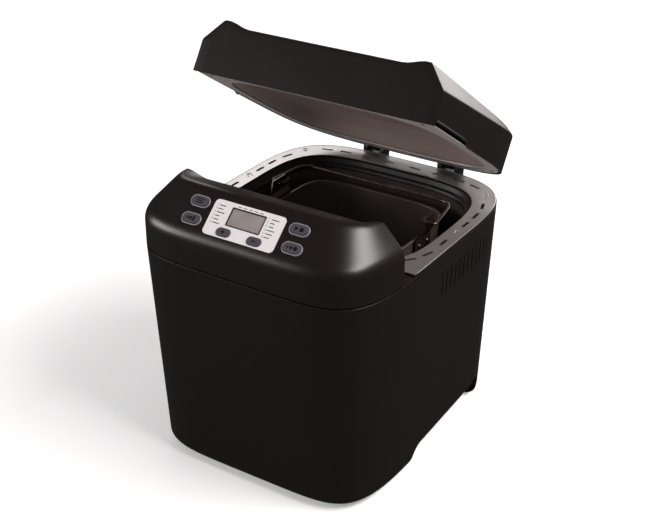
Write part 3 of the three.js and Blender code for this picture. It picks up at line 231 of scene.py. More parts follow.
def finishes():
    return bpy.context.scene.bread_machine_finishes


def half_width():
    return sizes().body_width / MM / 2


def body_top():
    return sizes().body_top / MM


def rear_reach():
    return sizes().rear_reach / MM


def wall():
    return sizes().shell_wall / MM


# ---------------------------------------------------------------- places
def machine_place():
    """Takes millimetres in the machine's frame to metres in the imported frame."""
    return Matrix.Translation((0, body_low.y + FRONT_REACH * MM, 0)) @ Matrix.Scale(MM, 4)


def panel_tilt():
    """Takes the control panel's frame, whose Y runs up the slope, to the machine's."""
    plate_z = body_top() + WALL_RISE + PLATE_FROM_FRONT * math.tan(SLOPE)
    centre = Matrix.Translation((0, PLATE_FROM_FRONT - FRONT_REACH, plate_z))
    return centre @ Matrix.Rotation(SLOPE, 4, "X")


def panel_place():
    return machine_place() @ panel_tilt()


def hinge_point():
    return Vector((0, rear_reach() + HINGE_BEHIND, body_top() + HINGE_RISE))


def lid_place():
    """Takes the closed lid, in the machine's frame, to where it stands open."""
    hinge = Matrix.Translation(hinge_point())
    return machine_place() @ hinge @ Matrix.Rotation(-LID_OPEN, 4, "X") @ hinge.inverted()


def pan_place():
    return machine_place() @ Matrix.Translation((0, PAN_CENTRE, 0))


# ---------------------------------------------------------------- outlines
def even_turns(steps=26):
    """Angles round a rounded outline, with more of them along its flat sides."""
    flats = [math.asin(share * share) for share in (0.08, 0.16)]
    quarter = [0.0, *flats, *(k * math.pi / 2 / steps for k in range(1, steps))]
    quarter += [math.pi / 2 - flat for flat in reversed(flats)]
    return [quadrant * math.pi / 2 + turn for quadrant in range(4) for turn in quarter]


TURNS = even_turns()


def bulge(value, squareness):
    return math.copysign(abs(value) ** (2 / squareness), value)


def outline_point(outline, turn):
    """A point of a rounded outline: half width, front and rear reach, and both ends' squareness."""
    half, front, rear, front_squareness, rear_squareness = outline
    back = math.sin(turn) > 0
    squareness = rear_squareness if back else front_squareness
    reach = rear if back else front
    return Vector((half * bulge(math.cos(turn), squareness), reach * bulge(math.sin(turn), squareness)))


def body_outline(inset, z=None):
    rise = 1.0 if z is None else min(z / body_top(), 1.0)
    side = FLOOR_SCALE_SIDE + (1 - FLOOR_SCALE_SIDE) * rise
    front = FLOOR_SCALE_FRONT + (1 - FLOOR_SCALE_FRONT) * rise
    return (
        half_width() * side - inset,
        FRONT_REACH * front - inset,
        rear_reach() * side - inset,
        FRONT_SQUARENESS,
        REAR_SQUARENESS,
    )


def chamber_outline(grow, z=None):
    """The chamber's outline, the same at every height."""
    half = half_width() - sizes().rim_width / MM
    rear = rear_reach() - CHAMBER_REAR_RIM
    return (half + grow, CHAMBER_FRONT + grow, rear + grow, CHAMBER_SQUARENESS, CHAMBER_SQUARENESS)


def pan_outline(inset, z=None):
    """The pan's outline, the same at every height."""
    depth = PAN_HALF_DEPTH - inset
    return (PAN_HALF_WIDTH - inset, depth, depth, PAN_SQUARENESS, PAN_SQUARENESS)


def smooth_share(value):
    share = min(max(value, 0.0), 1.0)
    return share * share * (3 - 2 * share)


def bend(start, corner, end, share):
    """A point of the curve that leaves start and reaches end by way of a corner."""
    return start.lerp(corner, share).lerp(corner.lerp(end, share), share)


def rounded(points, reaches, steps=5, between=1):
    """A line of points with each inner corner rounded, and its straights cut into equal lengths."""
    line = [points[0]]
    for last, corner, following, reach in zip(points, points[1:], points[2:], reaches):
        back, ahead = last - corner, following - corner
        cut = min(reach, back.length * 0.48, ahead.length * 0.48)
        start = corner + back.normalized() * cut
        end = corner + ahead.normalized() * cut
        before = line[-1]
        line += [before.lerp(start, k / between) for k in range(1, between)]
        for k in range(steps + 1):
            line.append(bend(start, corner, end, k / steps))
    before = line[-1]
    return [*line, *(before.lerp(points[-1], k / between) for k in range(1, between + 1))]


def profile(points, reaches=None, steps=4):
    points = [Vector(point) for point in points]
    return rounded(points, reaches, steps) if reaches else points


def rectangle_points(width, height, corner=0.0, x=0.0, y=0.0, steps=6):
    """A rectangle's outline, counter-clockwise, with its corners rounded."""
    points = []
    for quadrant, (sx, sy) in enumerate(((1, 1), (-1, 1), (-1, -1), (1, -1))):
        cx, cy = x + sx * (width / 2 - corner), y + sy * (height / 2 - corner)
        count = steps if corner else 0
        for k in range(count + 1):
            turn = (quadrant + (k / count if count else 0.5)) * math.pi / 2
            points.append(Vector((cx + corner * math.cos(turn), cy + corner * math.sin(turn))))
    return points


def pill_points(width, height, x=0.0, y=0.0):
    return rectangle_points(width, height, height / 2 - 0.01, x, y, 9)


# ---------------------------------------------------------------- modelling
def sheet(columns, rows, place):
    """A grid of the given size with each corner moved to its place, and doubles merged."""
    bm = bmesh.new()
    bmesh.ops.create_grid(bm, x_segments=columns, y_segments=rows, size=1.0)
    for vert in bm.verts:
        column, row = round((vert.co.x + 1) / 2 * columns), round((vert.co.y + 1) / 2 * rows)
        vert.co = place(column, row)
    bmesh.ops.remove_doubles(bm, verts=bm.verts, dist=MERGE)
    bmesh.ops.recalc_face_normals(bm, faces=bm.faces)
    return bm


def swept(outline_at, line, loop=False):
    """A sheet that runs round an outline, whose inset and height follow a line of points."""
    count = len(line)

    def place(column, row):
        grow, z = line[row % count]
        flat = outline_point(outline_at(grow, z), TURNS[column % len(TURNS)])
        return Vector((flat.x, flat.y, z))

    return sheet(len(TURNS), count if loop else count - 1, place)


def swept_pill(width, height, line, loop=False):
    """A sheet that runs round a pill outline; each point of the line is an inset and a height."""
    count = len(line)
    around = len(pill_points(width, height))

    def place(column, row):
        inset, z = line[row % count]
        flat = pill_points(width - inset * 2, height - inset * 2)[column % around]
        return Vector((flat.x, flat.y, z))

    return sheet(around, count if loop else count - 1, place)


def capped(bm):
    """Closes a sheet's open ends."""
    bmesh.ops.holes_fill(bm, edges=[e for e in bm.edges if e.is_boundary], sides=0)
    bmesh.ops.recalc_face_normals(bm, faces=bm.faces)
    return bm


def flat_face(points, z):
    """A single face with the given outline at a height."""
    bm = bmesh.new()
    bmesh.ops.create_circle(bm, cap_ends=True, segments=len(points), radius=1.0)
    bm.verts.ensure_lookup_table()
    for vert, point in zip(bm.verts, points):
        vert.co = (point.x, point.y, z)
    return bm


def slab(points, low, high, edge=0.0):
    """A flat plate with the given outline, with its upper edge bevelled."""
    bm = flat_face(points, low)
    up = bmesh.ops.extrude_face_region(bm, geom=bm.faces[:], use_keep_orig=True)
    moved = [g for g in up["geom"] if isinstance(g, bmesh.types.BMVert)]
    bmesh.ops.translate(bm, verts=moved, vec=(0, 0, high - low))
    bmesh.ops.recalc_face_normals(bm, faces=bm.faces)
    if edge:
        rim = [e for e in bm.edges if all(abs(v.co.z - high) < 1e-6 for v in e.verts)]
        bevel(bm, rim, edge, 3)
    return bm


def bevel(bm, edges, offset, segments=2):
    bmesh.ops.bevel(
        bm,
        geom=edges,
        offset=offset,
        offset_type="OFFSET",
        affect="EDGES",
        segments=segments,
        profile=0.5,
        clamp_overlap=True,
        material=-1,
    )


def sharp_edges(bm, degrees=50):
    limit = math.radians(degrees)
    return [e for e in bm.edges if e.is_manifold and e.calc_face_angle(0.0) > limit]


def turned(line, centre=(0, 0), steps=48):
    """A profile of radii and heights spun about an upright axis."""
    bm = bmesh.new()
    verts = [bm.verts.new((radius, 0, z)) for radius, z in line]
    edges = [bm.edges.new(pair) for pair in zip(verts, verts[1:])]
    bmesh.ops.spin(
        bm,
        geom=verts + edges,
        cent=(0, 0, 0),
        axis=(0, 0, 1),
        angle=math.tau,
        steps=steps,
        use_merge=True,
        use_duplicate=False,
    )
    bmesh.ops.remove_doubles(bm, verts=bm.verts, dist=MERGE)
    bmesh.ops.recalc_face_normals(bm, faces=bm.faces)
    bmesh.ops.translate(bm, verts=bm.verts, vec=(*centre, 0))
    return bm


def outline_planes(points, tilt=None):
    """Planes through a convex counter-clockwise outline's edges, each facing outwards."""
    tilt = tilt or Matrix.Identity(4)
    turn = tilt.to_3x3()
    planes = []
    for start, end in zip(points, points[1:] + points[:1]):
        along = end - start
        if along.length > 1e-5:
            facing = turn @ Vector((along.y, -along.x, 0)).normalized()
            planes.append((tilt @ Vector((start.x, start.y, 0)), facing))
    return planes


def inside_planes(bm, planes, near):
    """Cuts the nearby faces along a convex outline, and gives back the faces inside it."""
    inside = [f for f in bm.faces if near(f.calc_center_median(), f.normal)]
    for point, normal in planes:
        edges = {e for f in inside for e in f.edges}
        verts = {v for f in inside for v in f.verts}
        cut = bmesh.ops.bisect_plane(
            bm, geom=[*inside, *edges, *verts], dist=1e-4, plane_co=point, plane_no=normal
        )
        inside = [
            g
            for g in cut["geom"]
            if isinstance(g, bmesh.types.BMFace) and (g.calc_center_median() - point).dot(normal) < 0
        ]
    return inside


def anywhere(centre, normal):
    return True


def cut_out(bm, planes, near):
    """Opens a hole with a convex outline."""
    bmesh.ops.delete(bm, geom=inside_planes(bm, planes, near), context="FACES")


def press_in(bm, planes, near, move):
    """Moves the part of a surface inside a convex outline, with a wall round it."""
    inside = inside_planes(bm, planes, near)
    edges = {e for f in inside for e in f.edges}
    made = bmesh.ops.extrude_face_region(bm, geom=[*inside, *edges])
    moved = [g for g in made["geom"] if isinstance(g, bmesh.types.BMVert)]
    bmesh.ops.translate(bm, verts=moved, vec=move)


def thickened(bm, thickness):
    """Gives a sheet its wall, on the side away from its normals."""
    bmesh.ops.solidify(bm, geom=bm.faces[:], thickness=thickness)
    return bm


def flip_up(bm, down=False):
    """Turns a flat sheet's faces upwards, or downwards."""
    total = sum(f.normal.z for f in bm.faces)
    if (total < 0) != down:
        bmesh.ops.reverse_faces(bm, faces=bm.faces)


def outward(bm, centre):
    """Turns a sheet's faces away from a point inside it."""
    total = sum((f.calc_center_median() - centre).dot(f.normal) * f.calc_area() for f in bm.faces)
    if total < 0:
        bmesh.ops.reverse_faces(bm, faces=bm.faces)


def inward(bm, centre):
    """Turns a sheet's faces towards a point inside it."""
    outward(bm, centre)
    bmesh.ops.reverse_faces(bm, faces=bm.faces)


def on_side(sign=1):
    """Stands a flat outline up on a side wall, its X along the machine's depth and its Y upwards."""
    return Matrix(((0, 0, sign, 0), (1, 0, 0, 0), (0, sign, 0, 0), (0, 0, 0, 1)))


def joined(parts):
    """One bmesh from several."""
    whole = bmesh.new()
    for part in parts:
        mesh = bpy.data.meshes.new("part")
        part.to_mesh(mesh)
        part.free()
        whole.from_mesh(mesh)
        bpy.data.meshes.remove(mesh)
    return whole


def shifted(bm, matrix):
    bmesh.ops.transform(bm, matrix=matrix, verts=bm.verts)
    return bm


def made_solid(curve):
    """A curve or text as a bmesh, with the curve itself removed."""
    holder = bpy.data.objects.new(curve.name, curve)
    bpy.context.scene.collection.objects.link(holder)
    bpy.context.view_layer.update()
    shown = holder.evaluated_get(bpy.context.evaluated_depsgraph_get())
    mesh = bpy.data.meshes.new_from_object(shown)
    bm = bmesh.new()
    bm.from_mesh(mesh)
    bpy.data.objects.remove(holder)
    bpy.data.curves.remove(curve)
    bpy.data.meshes.remove(mesh)
    return bm


def wire(points, radius, sides=12):
    """A round bar along a line of points."""
    curve = bpy.data.curves.new("wire", "CURVE")
    curve.dimensions = "3D"
    curve.bevel_depth = radius
    curve.bevel_resolution = sides // 4
    curve.use_fill_caps = True
    spline = curve.splines.new("POLY")
    spline.points.add(len(points) - 1)
    for place, point in zip(spline.points, points):
        place.co = (*point, 1)
    bm = made_solid(curve)
    bmesh.ops.remove_doubles(bm, verts=bm.verts, dist=MERGE)
    bmesh.ops.recalc_face_normals(bm, faces=bm.faces)
    return bm


def lettered(text, height):
    """A flat numeral as a bmesh, its lower left corner at the origin."""
    curve = bpy.data.curves.new("numeral", "FONT")
    curve.body = text
    curve.size = height
    return made_solid(curve)


def add_piece(name, bm, place, body, material, stands_for=()):
    """Makes the finished object: in place, riding on its body, with its finish."""
    bmesh.ops.transform(bm, matrix=place, verts=bm.verts)
    mesh = bpy.data.meshes.new(name)
    bm.to_mesh(mesh)
    bm.free()
    mesh.shade_smooth()
    mesh.set_sharp_from_angle(angle=SMOOTH_ANGLE)
    mesh.materials.append(material)
    piece = bpy.data.objects.new(name, mesh)
    bpy.context.scene.collection.objects.link(piece)
    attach(piece, body)
    if stands_for:
        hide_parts(*stands_for)
    return piece


# ---------------------------------------------------------------- finishes
def finish(
    name,
    colour,
    roughness,
    metallic=0.0,
    specular=0.5,
    grain=1500.0,
    depth=0.04,
    mottle=0.1,
    uneven=0.05,
    stretch=(1, 1, 1),
    patch=25.0,
):
    """A moulded, coated or brushed surface: fine grain in relief and gloss, slow drift in colour."""
    name += "_finish"
    if name in bpy.data.materials:
        return bpy.data.materials[name]
    material = bpy.data.materials.new(name)
    material.use_nodes = True
    nodes, links = material.node_tree.nodes, material.node_tree.links
    shader = nodes["Principled BSDF"]
    shader.inputs["Metallic"].default_value = metallic
    shader.inputs["Specular IOR Level"].default_value = specular
    where = nodes.new("ShaderNodeTexCoord")
    turn = nodes.new("ShaderNodeMapping")
    turn.inputs["Scale"].default_value = stretch
    fine = nodes.new("ShaderNodeTexNoise")
    fine.inputs["Scale"].default_value = grain
    fine.inputs["Detail"].default_value = 3.0
    slow = nodes.new("ShaderNodeTexNoise")
    slow.inputs["Scale"].default_value = patch
    slow.inputs["Detail"].default_value = 4.0
    tint = nodes.new("ShaderNodeMix")
    tint.data_type = "RGBA"
    tint.inputs["A"].default_value = (*(c * (1 - mottle) for c in colour), 1)
    tint.inputs["B"].default_value = (*(min(c * (1 + mottle), 1) for c in colour), 1)
    gloss = nodes.new("ShaderNodeMapRange")
    gloss.inputs["From Min"].default_value = 0.3
    gloss.inputs["From Max"].default_value = 0.7
    gloss.inputs["To Min"].default_value = roughness - uneven
    gloss.inputs["To Max"].default_value = roughness + uneven
    blend = nodes.new("ShaderNodeMath")
    blend.operation = "MULTIPLY_ADD"
    blend.inputs[1].default_value = 0.5
    relief = nodes.new("ShaderNodeBump")
    relief.inputs["Strength"].default_value = depth
    relief.inputs["Distance"].default_value = 0.0005
    half = nodes.new("ShaderNodeMath")
    half.operation = "MULTIPLY"
    half.inputs[1].default_value = 0.5
    links.new(where.outputs["Object"], turn.inputs["Vector"])
    links.new(turn.outputs["Vector"], fine.inputs["Vector"])
    links.new(where.outputs["Object"], slow.inputs["Vector"])
    links.new(slow.outputs["Fac"], tint.inputs["Factor"])
    links.new(tint.outputs["Result"], shader.inputs["Base Color"])
    links.new(slow.outputs["Fac"], half.inputs[0])
    links.new(fine.outputs["Fac"], blend.inputs[0])
    links.new(half.outputs["Value"], blend.inputs[2])
    links.new(blend.outputs["Value"], gloss.inputs["Value"])
    links.new(gloss.outputs["Result"], shader.inputs["Roughness"])
    links.new(fine.outputs["Fac"], relief.inputs["Height"])
    links.new(relief.outputs["Normal"], shader.inputs["Normal"])
    return material


def satin_black():
    return finish(
        "satin_black",
        finishes().plastic,
        0.33,
        specular=0.44,
        grain=2200,
        depth=0.05,
        mottle=0.05,
        uneven=0.02,
    )


def trim_black():
    return finish("trim_black", finishes().trim, 0.42, specular=0.4, grain=1800, depth=0.06)


def rim_silver():
    return finish(
        "rim_silver", finishes().silver, 0.34, metallic=0.92, grain=1400, depth=0.05, mottle=0.05
    )


def label_silver():
    return finish(
        "label_silver", finishes().label, 0.42, metallic=0.1, grain=2600, depth=0.03, mottle=0.03
    )


def screen_grey():
    return finish("screen_grey", finishes().screen, 0.16, grain=900, depth=0.0, mottle=0.18, patch=60)


def button_grey():
    return finish("button_grey", finishes().button, 0.5, specular=0.25, grain=2400, depth=0.08)


def ring_grey():
    return finish("ring_grey", finishes().ring, 0.34, metallic=0.2, grain=2400, depth=0.03)


def dark_ink():
    return finish("dark_ink", finishes().ink, 0.6, specular=0.12, grain=1500, depth=0.02)


def nonstick_coating():
    return finish(
        "nonstick_coating", finishes().nonstick, 0.36, metallic=0.25, grain=1100, depth=0.12, mottle=0.16
    )


def chamber_coating():
    return finish(
        "chamber_coating", finishes().nonstick, 0.5, metallic=0.3, grain=900, depth=0.12, mottle=0.2
    )


def border_silver():
    return finish(
        "border_silver", finishes().border, 0.4, metallic=0.35, grain=1400, depth=0.05, mottle=0.04
    )


def dark_wire():
    return finish("dark_wire", finishes().bronze, 0.26, metallic=0.9, grain=900, depth=0.05, mottle=0.15)


def dish_metal():
    return finish(
        "dish_metal",
        finishes().dish,
        0.33,
        metallic=0.2,
        grain=700,
        depth=0.05,
        stretch=(0.12, 1, 1),
        uneven=0.07,
    )


def dull_steel():
    return finish("dull_steel", finishes().steel, 0.42, metallic=1.0, grain=600, depth=0.1, mottle=0.2)


def black_rubber():
    return finish("black_rubber", finishes().rubber, 0.8, grain=1300, depth=0.25, specular=0.3)


def board_green():
    return finish("board_green", finishes().board, 0.5, grain=500, depth=0.08, mottle=0.2, patch=120)


def warm_brass():
    return finish("warm_brass", finishes().brass, 0.38, metallic=1.0, grain=900, depth=0.08, mottle=0.15)


# ---------------------------------------------------------------- pieces
class OBJECT_OT_bread_body(bpy.types.Operator):
    """Models the tapered body with its side vents and grip arches"""

    bl_idname = "object.bread_body"
    bl_label = "Body"

    def execute(self, context):
        top = body_top()
        line = [Vector((inset, BODY_BOTTOM)) for inset in (BOTTOM_ROUNDING + 2, BOTTOM_ROUNDING)]
        for k in range(1, 9):
            turn = k / 8 * math.pi / 2
            inset = BOTTOM_ROUNDING * (1 - math.sin(turn))
            line.append(Vector((inset, BODY_BOTTOM + BOTTOM_ROUNDING * (1 - math.cos(turn)))))
        line += [Vector((0, z)) for z in (60, 120, 180, 215)]
        edge = profile([(0, top - 3), (0, top), (4, top), (8, top)], (0.35, 0.1), 4)
        bm = swept(body_outline, [*line, *edge])
        for side in (-1, 1):
            self.cut_arch(bm, side)
            self.cut_vents(bm, side)
        thickened(bm, wall())
        add_piece(
            "body_skin", bm, machine_place(), "base", satin_black(), ["body_shell"]
        )
        self.add_deck()
        return {"FINISHED"}

    def add_deck(self):
        """The flat deck between the body's top edge and the chamber, seen where the rim is notched."""
        top = body_top() - 0.02

        def place(column, row):
            turn = TURNS[column % len(TURNS)]
            outer = outline_point(body_outline(7), turn)
            inner = outline_point(chamber_outline(1.6), turn)
            flat = outer.lerp(inner, row / 4)
            return Vector((flat.x, flat.y, top))

        bm = sheet(len(TURNS), 4, place)
        flip_up(bm)
        thickened(bm, 2.4)
        add_piece("body_deck", bm, machine_place(), "base", satin_black())

    def cut_arch(self, bm, side):
        """Cuts the grip arch from the lower edge of one side."""
        front, rear = 110.6 - FRONT_REACH, rear_reach() - 55
        corners = [(front, -1), (rear, -1), (rear, 27.9), (rear - 5.1, 33)]
        corners += [(front + 17, 25), (front + 7.65, 17.5), (front, -1)]
        smooth_corners = rounded([Vector(c) for c in corners], (0, 5, 5, 9, 9, 0), 4)[:-1]
        planes = outline_planes(smooth_corners, on_side())
        planes.append((Vector((side * 101, 0, 0)), Vector((-side, 0, 0))))
        cut_out(bm, planes, lambda c, n: side * c.x > 60 and c.z < 70)

    def cut_vents(self, bm, side):
        """Cuts the row of upright slots near the top of one side."""
        width, height = VENT_SIZE
        low = body_top() - VENT_DROP
        for index in range(VENT_COUNT):
            y = VENT_START + index * VENT_PITCH
            planes = [
                (Vector((0, 0, low)), Vector((0, 0, -1))),
                (Vector((0, 0, low + height)), Vector((0, 0, 1))),
                (Vector((0, y, 0)), Vector((0, -1, 0))),
                (Vector((0, y + width, 0)), Vector((0, 1, 0))),
            ]
            cut_out(bm, planes, lambda c, n: side * c.x > 90 and c.z > 150 and abs(n.x) > 0.5)


class OBJECT_OT_bread_base_fittings(bpy.types.Operator):
    """Models the feet and the gland for the mains lead"""

    bl_idname = "object.bread_base_fittings"
    bl_label = "Feet and gland"

    def execute(self, context):
        line = profile([(0, 0), (8.2, 0), (9, 1.2), (9, 5.6), (0, 5.6)], (0.6, 1.0, 0.1))
        for end in ("front", "rear"):
            for side in ("left", "right"):
                node = f"foot_{end}_{side}"
                low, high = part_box(node)
                centre = (low + high) / 2
                bm = turned(line, steps=40)
                place = Matrix.Translation((centre.x, centre.y, 0)) @ Matrix.Scale(MM, 4)
                add_piece(node + "_pad", bm, place, "base", black_rubber(), [node])
        low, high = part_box("cord_inlet")
        line = profile(
            [(3.6, -12), (6, -12), (6, 1.8), (9, 1.8), (8.6, 3.4), (7, 6), (3.6, 6), (3.6, -12)],
            (0.2, 0.2, 0.8, 0.8, 1.2, 0.6),
        )
        bm = turned(line, steps=40)
        place = Matrix.Translation(((low.x + high.x) / 2, high.y - 6 * MM, (low.z + high.z) / 2))
        place = place @ Matrix.Rotation(-math.pi / 2, 4, "X") @ Matrix.Scale(MM, 4)
        add_piece("lead_gland", bm, place, "base", black_rubber(), ["cord_inlet"])
        return {"FINISHED"}


def console_column(outline, share):
    """A point of the console's outline, from its right end at 0 to its left end at 1."""
    cut = math.asin((-CONSOLE_BACK / outline[1]) ** (FRONT_SQUARENESS / 2))
    flat = outline_point(outline, -cut - share * (math.pi - 2 * cut))
    return Vector((flat.x, min(flat.y, CONSOLE_BACK)))


class OBJECT_OT_bread_console(bpy.types.Operator):
    """Models the sloped console with its ridge, upturned corners and panel recesses"""

    bl_idname = "object.bread_console"
    bl_label = "Console"

    def execute(self, context):
        top = body_top()
        body = body_outline(0)
        ridge = (half_width() - SIDE_CHAMFER, FRONT_REACH - RIDGE_SETBACK, body[2], *body[3:])
        shares = [0.0, 0.004, 0.012, *(turn / math.pi for turn in TURNS if 0.05 < turn < math.pi - 0.05)]
        shares += [0.988, 0.996, 1.0]

        def column_line(share):
            low, high = console_column(body, share), console_column(ridge, share)
            depth = (high.y + ridge[1]) / (CONSOLE_BACK + ridge[1])
            height = RIDGE_RISE + (HORN_RISE - RIDGE_RISE) * depth
            side = (abs(high.x) / ridge[0] - HORN_START) / HORN_SPAN
            dip = DIP_RISE + (HORN_RISE - DIP_RISE) * smooth_share(side)
            crest = Vector((high.x, high.y, top + height))
            rear = Vector((high.x, CONSOLE_BACK, top + dip))
            corners = [
                Vector((low.x, low.y, top + SEAM)),
                Vector((low.x, low.y, top + WALL_RISE)),
                crest,
                rear,
            ]
            line = rounded(corners, (8.0, 7.0), 7, 7)
            # A small turn-in along the lower edge leaves a seam above the body.
            start = line[0]
            inward = Vector((start.x * 0.995, min(start.y * 0.997, CONSOLE_BACK), start.z))
            return [inward, start + Vector((0, 0, 0.7)), *line[1:]]

        lines = [column_line(share) for share in shares]
        rows = len(lines[0])
        bm = sheet(len(shares) - 1, rows - 1, lambda column, row: lines[column][row])
        outward(bm, Vector((0, -120, 250)))
        tilt = panel_tilt()
        lift = tilt.to_3x3() @ Vector((0, 0, 1))

        def on_slope(centre, normal):
            return normal.dot(lift) > 0.9 and abs(centre.x) < 100

        plate = rectangle_points(
            sizes().plate_width / MM + 2 * GAP, sizes().plate_height / MM + 2 * GAP, 4.2
        )
        press_in(bm, outline_planes(plate, tilt), on_slope, lift * -LABEL_RECESS)
        window = rectangle_points(sizes().lcd_width / MM, sizes().lcd_height / MM, 0, 0, LCD_UP)
        cut_out(bm, outline_planes(window, tilt), on_slope)
        for x, y in STEP_BUTTONS.values():
            cut_out(bm, outline_planes(pill_points(*STEP_SIZE, x, y), tilt), on_slope)
        for x, y in OUTER_BUTTONS.values():
            ring = pill_points(RING_SIZE[0] + 2 * GAP, RING_SIZE[1] + 2 * GAP, x, y)
            press_in(bm, outline_planes(ring, tilt), on_slope, lift * -RING_RECESS)
            inner = pill_points(RING_SIZE[0] - 2 * RING_BAND, RING_SIZE[1] - 2 * RING_BAND, x, y)
            cut_out(bm, outline_planes(inner, tilt), on_slope)
        self.close_back(bm, top)
        thickened(bm, wall())
        add_piece(
            "console_skin",
            bm,
            machine_place(),
            "base",
            satin_black(),
            ["front_console"],
        )
        return {"FINISHED"}

    def close_back(self, bm, top):
        """Fills the straight wall behind the console and rounds its edge."""
        bmesh.ops.recalc_face_normals(bm, faces=bm.faces)
        outward(bm, Vector((0, -120, 250)))
        back = [
            e
            for e in bm.edges
            if e.is_boundary and all(abs(v.co.y - CONSOLE_BACK) < 0.02 for v in e.verts)
        ]
        ends = [v for v in {v for e in back for v in e.verts} if v.co.z < top + SEAM + 0.1]
        ends.sort(key=lambda v: v.co.x)
        back.append(bm.edges.new((ends[0], ends[-1])))
        bmesh.ops.contextual_create(bm, geom=back)
        bm.normal_update()
        wall_face = max(bm.faces, key=lambda f: f.calc_area() if abs(f.normal.y) > 0.99 else 0)
        if wall_face.normal.y < 0:
            wall_face.normal_flip()
        edges = [e for e in wall_face.edges if len(e.link_faces) == 2]
        bevel(bm, edges, 1.6, 3)


class OBJECT_OT_bread_panel(bpy.types.Operator):
    """Models the label plate, its print and the display"""

    bl_idname = "object.bread_panel"
    bl_label = "Label plate and display"

    def execute(self, context):
        width, height = sizes().plate_width / MM, sizes().plate_height / MM
        lcd_width, lcd_height = sizes().lcd_width / MM, sizes().lcd_height / MM
        bm = flat_face(rectangle_points(width, height, 4), 0.5)
        flip_up(bm)
        cut_out(bm, outline_planes(rectangle_points(lcd_width, lcd_height, 0, 0, LCD_UP)), anywhere)
        for x, y in STEP_BUTTONS.values():
            cut_out(bm, outline_planes(pill_points(*STEP_SIZE, x, y)), anywhere)
        thickened(bm, 1.0)
        rim = [e for e in sharp_edges(bm) if all(v.co.z > 0.45 for v in e.verts)]
        bevel(bm, rim, 0.22, 2)
        add_piece(
            "label_face", bm, panel_place(), "base", label_silver(), ["label_plate"]
        )
        pane = rectangle_points(lcd_width - 2 * GAP, lcd_height - 2 * GAP, 0.6, 0, LCD_UP)
        glass = slab(pane, -2.2, 0.1, 0.2)
        add_piece(
            "display_glass", glass, panel_place(), "base", screen_grey(), ["lcd_window"]
        )
        self.add_frame(lcd_width, lcd_height)
        self.add_print(width, height)
        return {"FINISHED"}

    def add_frame(self, width, height):
        """The thin dark frame round the display."""
        bm = flat_face(rectangle_points(width + 1.1, height + 1.1, 1.0, 0, LCD_UP), 0.62)
        flip_up(bm)
        window = rectangle_points(width - 0.6, height - 0.6, 0.5, 0, LCD_UP)
        cut_out(bm, outline_planes(window), anywhere)
        thickened(bm, 0.55)
        add_piece("display_frame", bm, panel_place(), "base", dark_ink())

    def add_print(self, width, height):
        """Numbers and short dashes beside the display, as on any list of programmes."""
        parts = []
        rise = 0.53

        def dash(x, y, long, thick=0.8):
            parts.append(slab(rectangle_points(long, thick, 0, x + long / 2, y), 0.4, rise))

        dashes = (7.0, 5.4, 8.2, 4.6, 5.0, 7.6)
        row_step = 3.5
        high = height / 2 - 5.4
        left = -width / 2 + 3.2
        right = sizes().lcd_width / MM / 2 + 2.6
        for row in range(6):
            y = high - row * row_step
            for number, x in ((row + 1, left), (row + 7, right)):
                digits = lettered(str(number), 2.7)
                bmesh.ops.translate(digits, verts=digits.verts, vec=(x, y - 0.8, rise))
                parts.append(digits)
            dash(left + 2.6, y, dashes[row])
            dash(right + 3.4, y, dashes[(row + 2) % 6])
        for index in range(5):
            dash(-13.6 + index * 6.0, LCD_UP + sizes().lcd_height / MM / 2 + 2.1, 3.6, 0.7)
        bm = joined(parts)
        add_piece("label_print", bm, panel_place(), "base", dark_ink())


class OBJECT_OT_bread_buttons(bpy.types.Operator):
    """Models the six buttons, their signs and the rings round the outer four"""

    bl_idname = "object.bread_buttons"
    bl_label = "Buttons"

    def execute(self, context):
        for name, (x, y) in {**OUTER_BUTTONS, **STEP_BUTTONS}.items():
            outer = name in OUTER_BUTTONS
            width, height = RING_SIZE if outer else STEP_SIZE
            trim = 2 * RING_BAND + 2 * GAP if outer else 2 * GAP
            line = profile([(0, KEY_FOOT), (0, KEY_TOP), (3.2, KEY_TOP + 0.12)], (0.7,), 5)
            cap = capped(swept_pill(width - trim, height - trim, line))
            place = panel_place() @ Matrix.Translation((x, y, 0))
            add_piece(
                name + "_key", cap, place, name, button_grey(), [name + "_button"]
            )
            if outer:
                band = profile(
                    [(0, -0.8), (0, 0.6), (RING_BAND, 0.6), (RING_BAND, -0.8)], (0.45, 0.35), 4
                )
                ring = swept_pill(width, height, band, loop=True)
                add_piece(
                    name + "_band", ring, place, "base", ring_grey(), [name + "_ring"]
                )
            sign = joined(self.sign(name))
            add_piece(name + "_sign", sign, place, name, dark_ink())
        return {"FINISHED"}

    def sign(self, name):
        """Plain marks on a button, in its own frame."""
        low, high = 1.35, 1.66

        def bar(x, y, width, height, corner=0.0):
            return slab(rectangle_points(width, height, corner, x, y, 4), low, high)

        if name == "plus":
            return [bar(0, 0, 4.2, 1.2), bar(0, 1.35, 1.2, 1.5), bar(0, -1.35, 1.2, 1.5)]
        if name == "minus":
            return [bar(0, 0, 4.2, 1.2)]
        if name == "menu":
            return [bar(0, y, 8.4, 0.9) for y in (-1.9, 0, 1.9)]
        if name == "colour":
            return [bar(x, 0, 2.4, size, 0.4) for x, size in ((-3.4, 2.2), (0, 3.4), (3.4, 4.6))]
        if name == "start":
            arrow = slab([Vector((-4.2, -2.3)), Vector((-0.4, 0)), Vector((-4.2, 2.3))], low, high)
            return [arrow, bar(3.0, 0, 3.8, 3.8, 0.3)]
        dots = ((-4.0, 2.0), (-0.4, 3.0), (4.0, 4.2))
        return [bar(x, 0, size, size, size / 2 - 0.02) for x, size in dots]


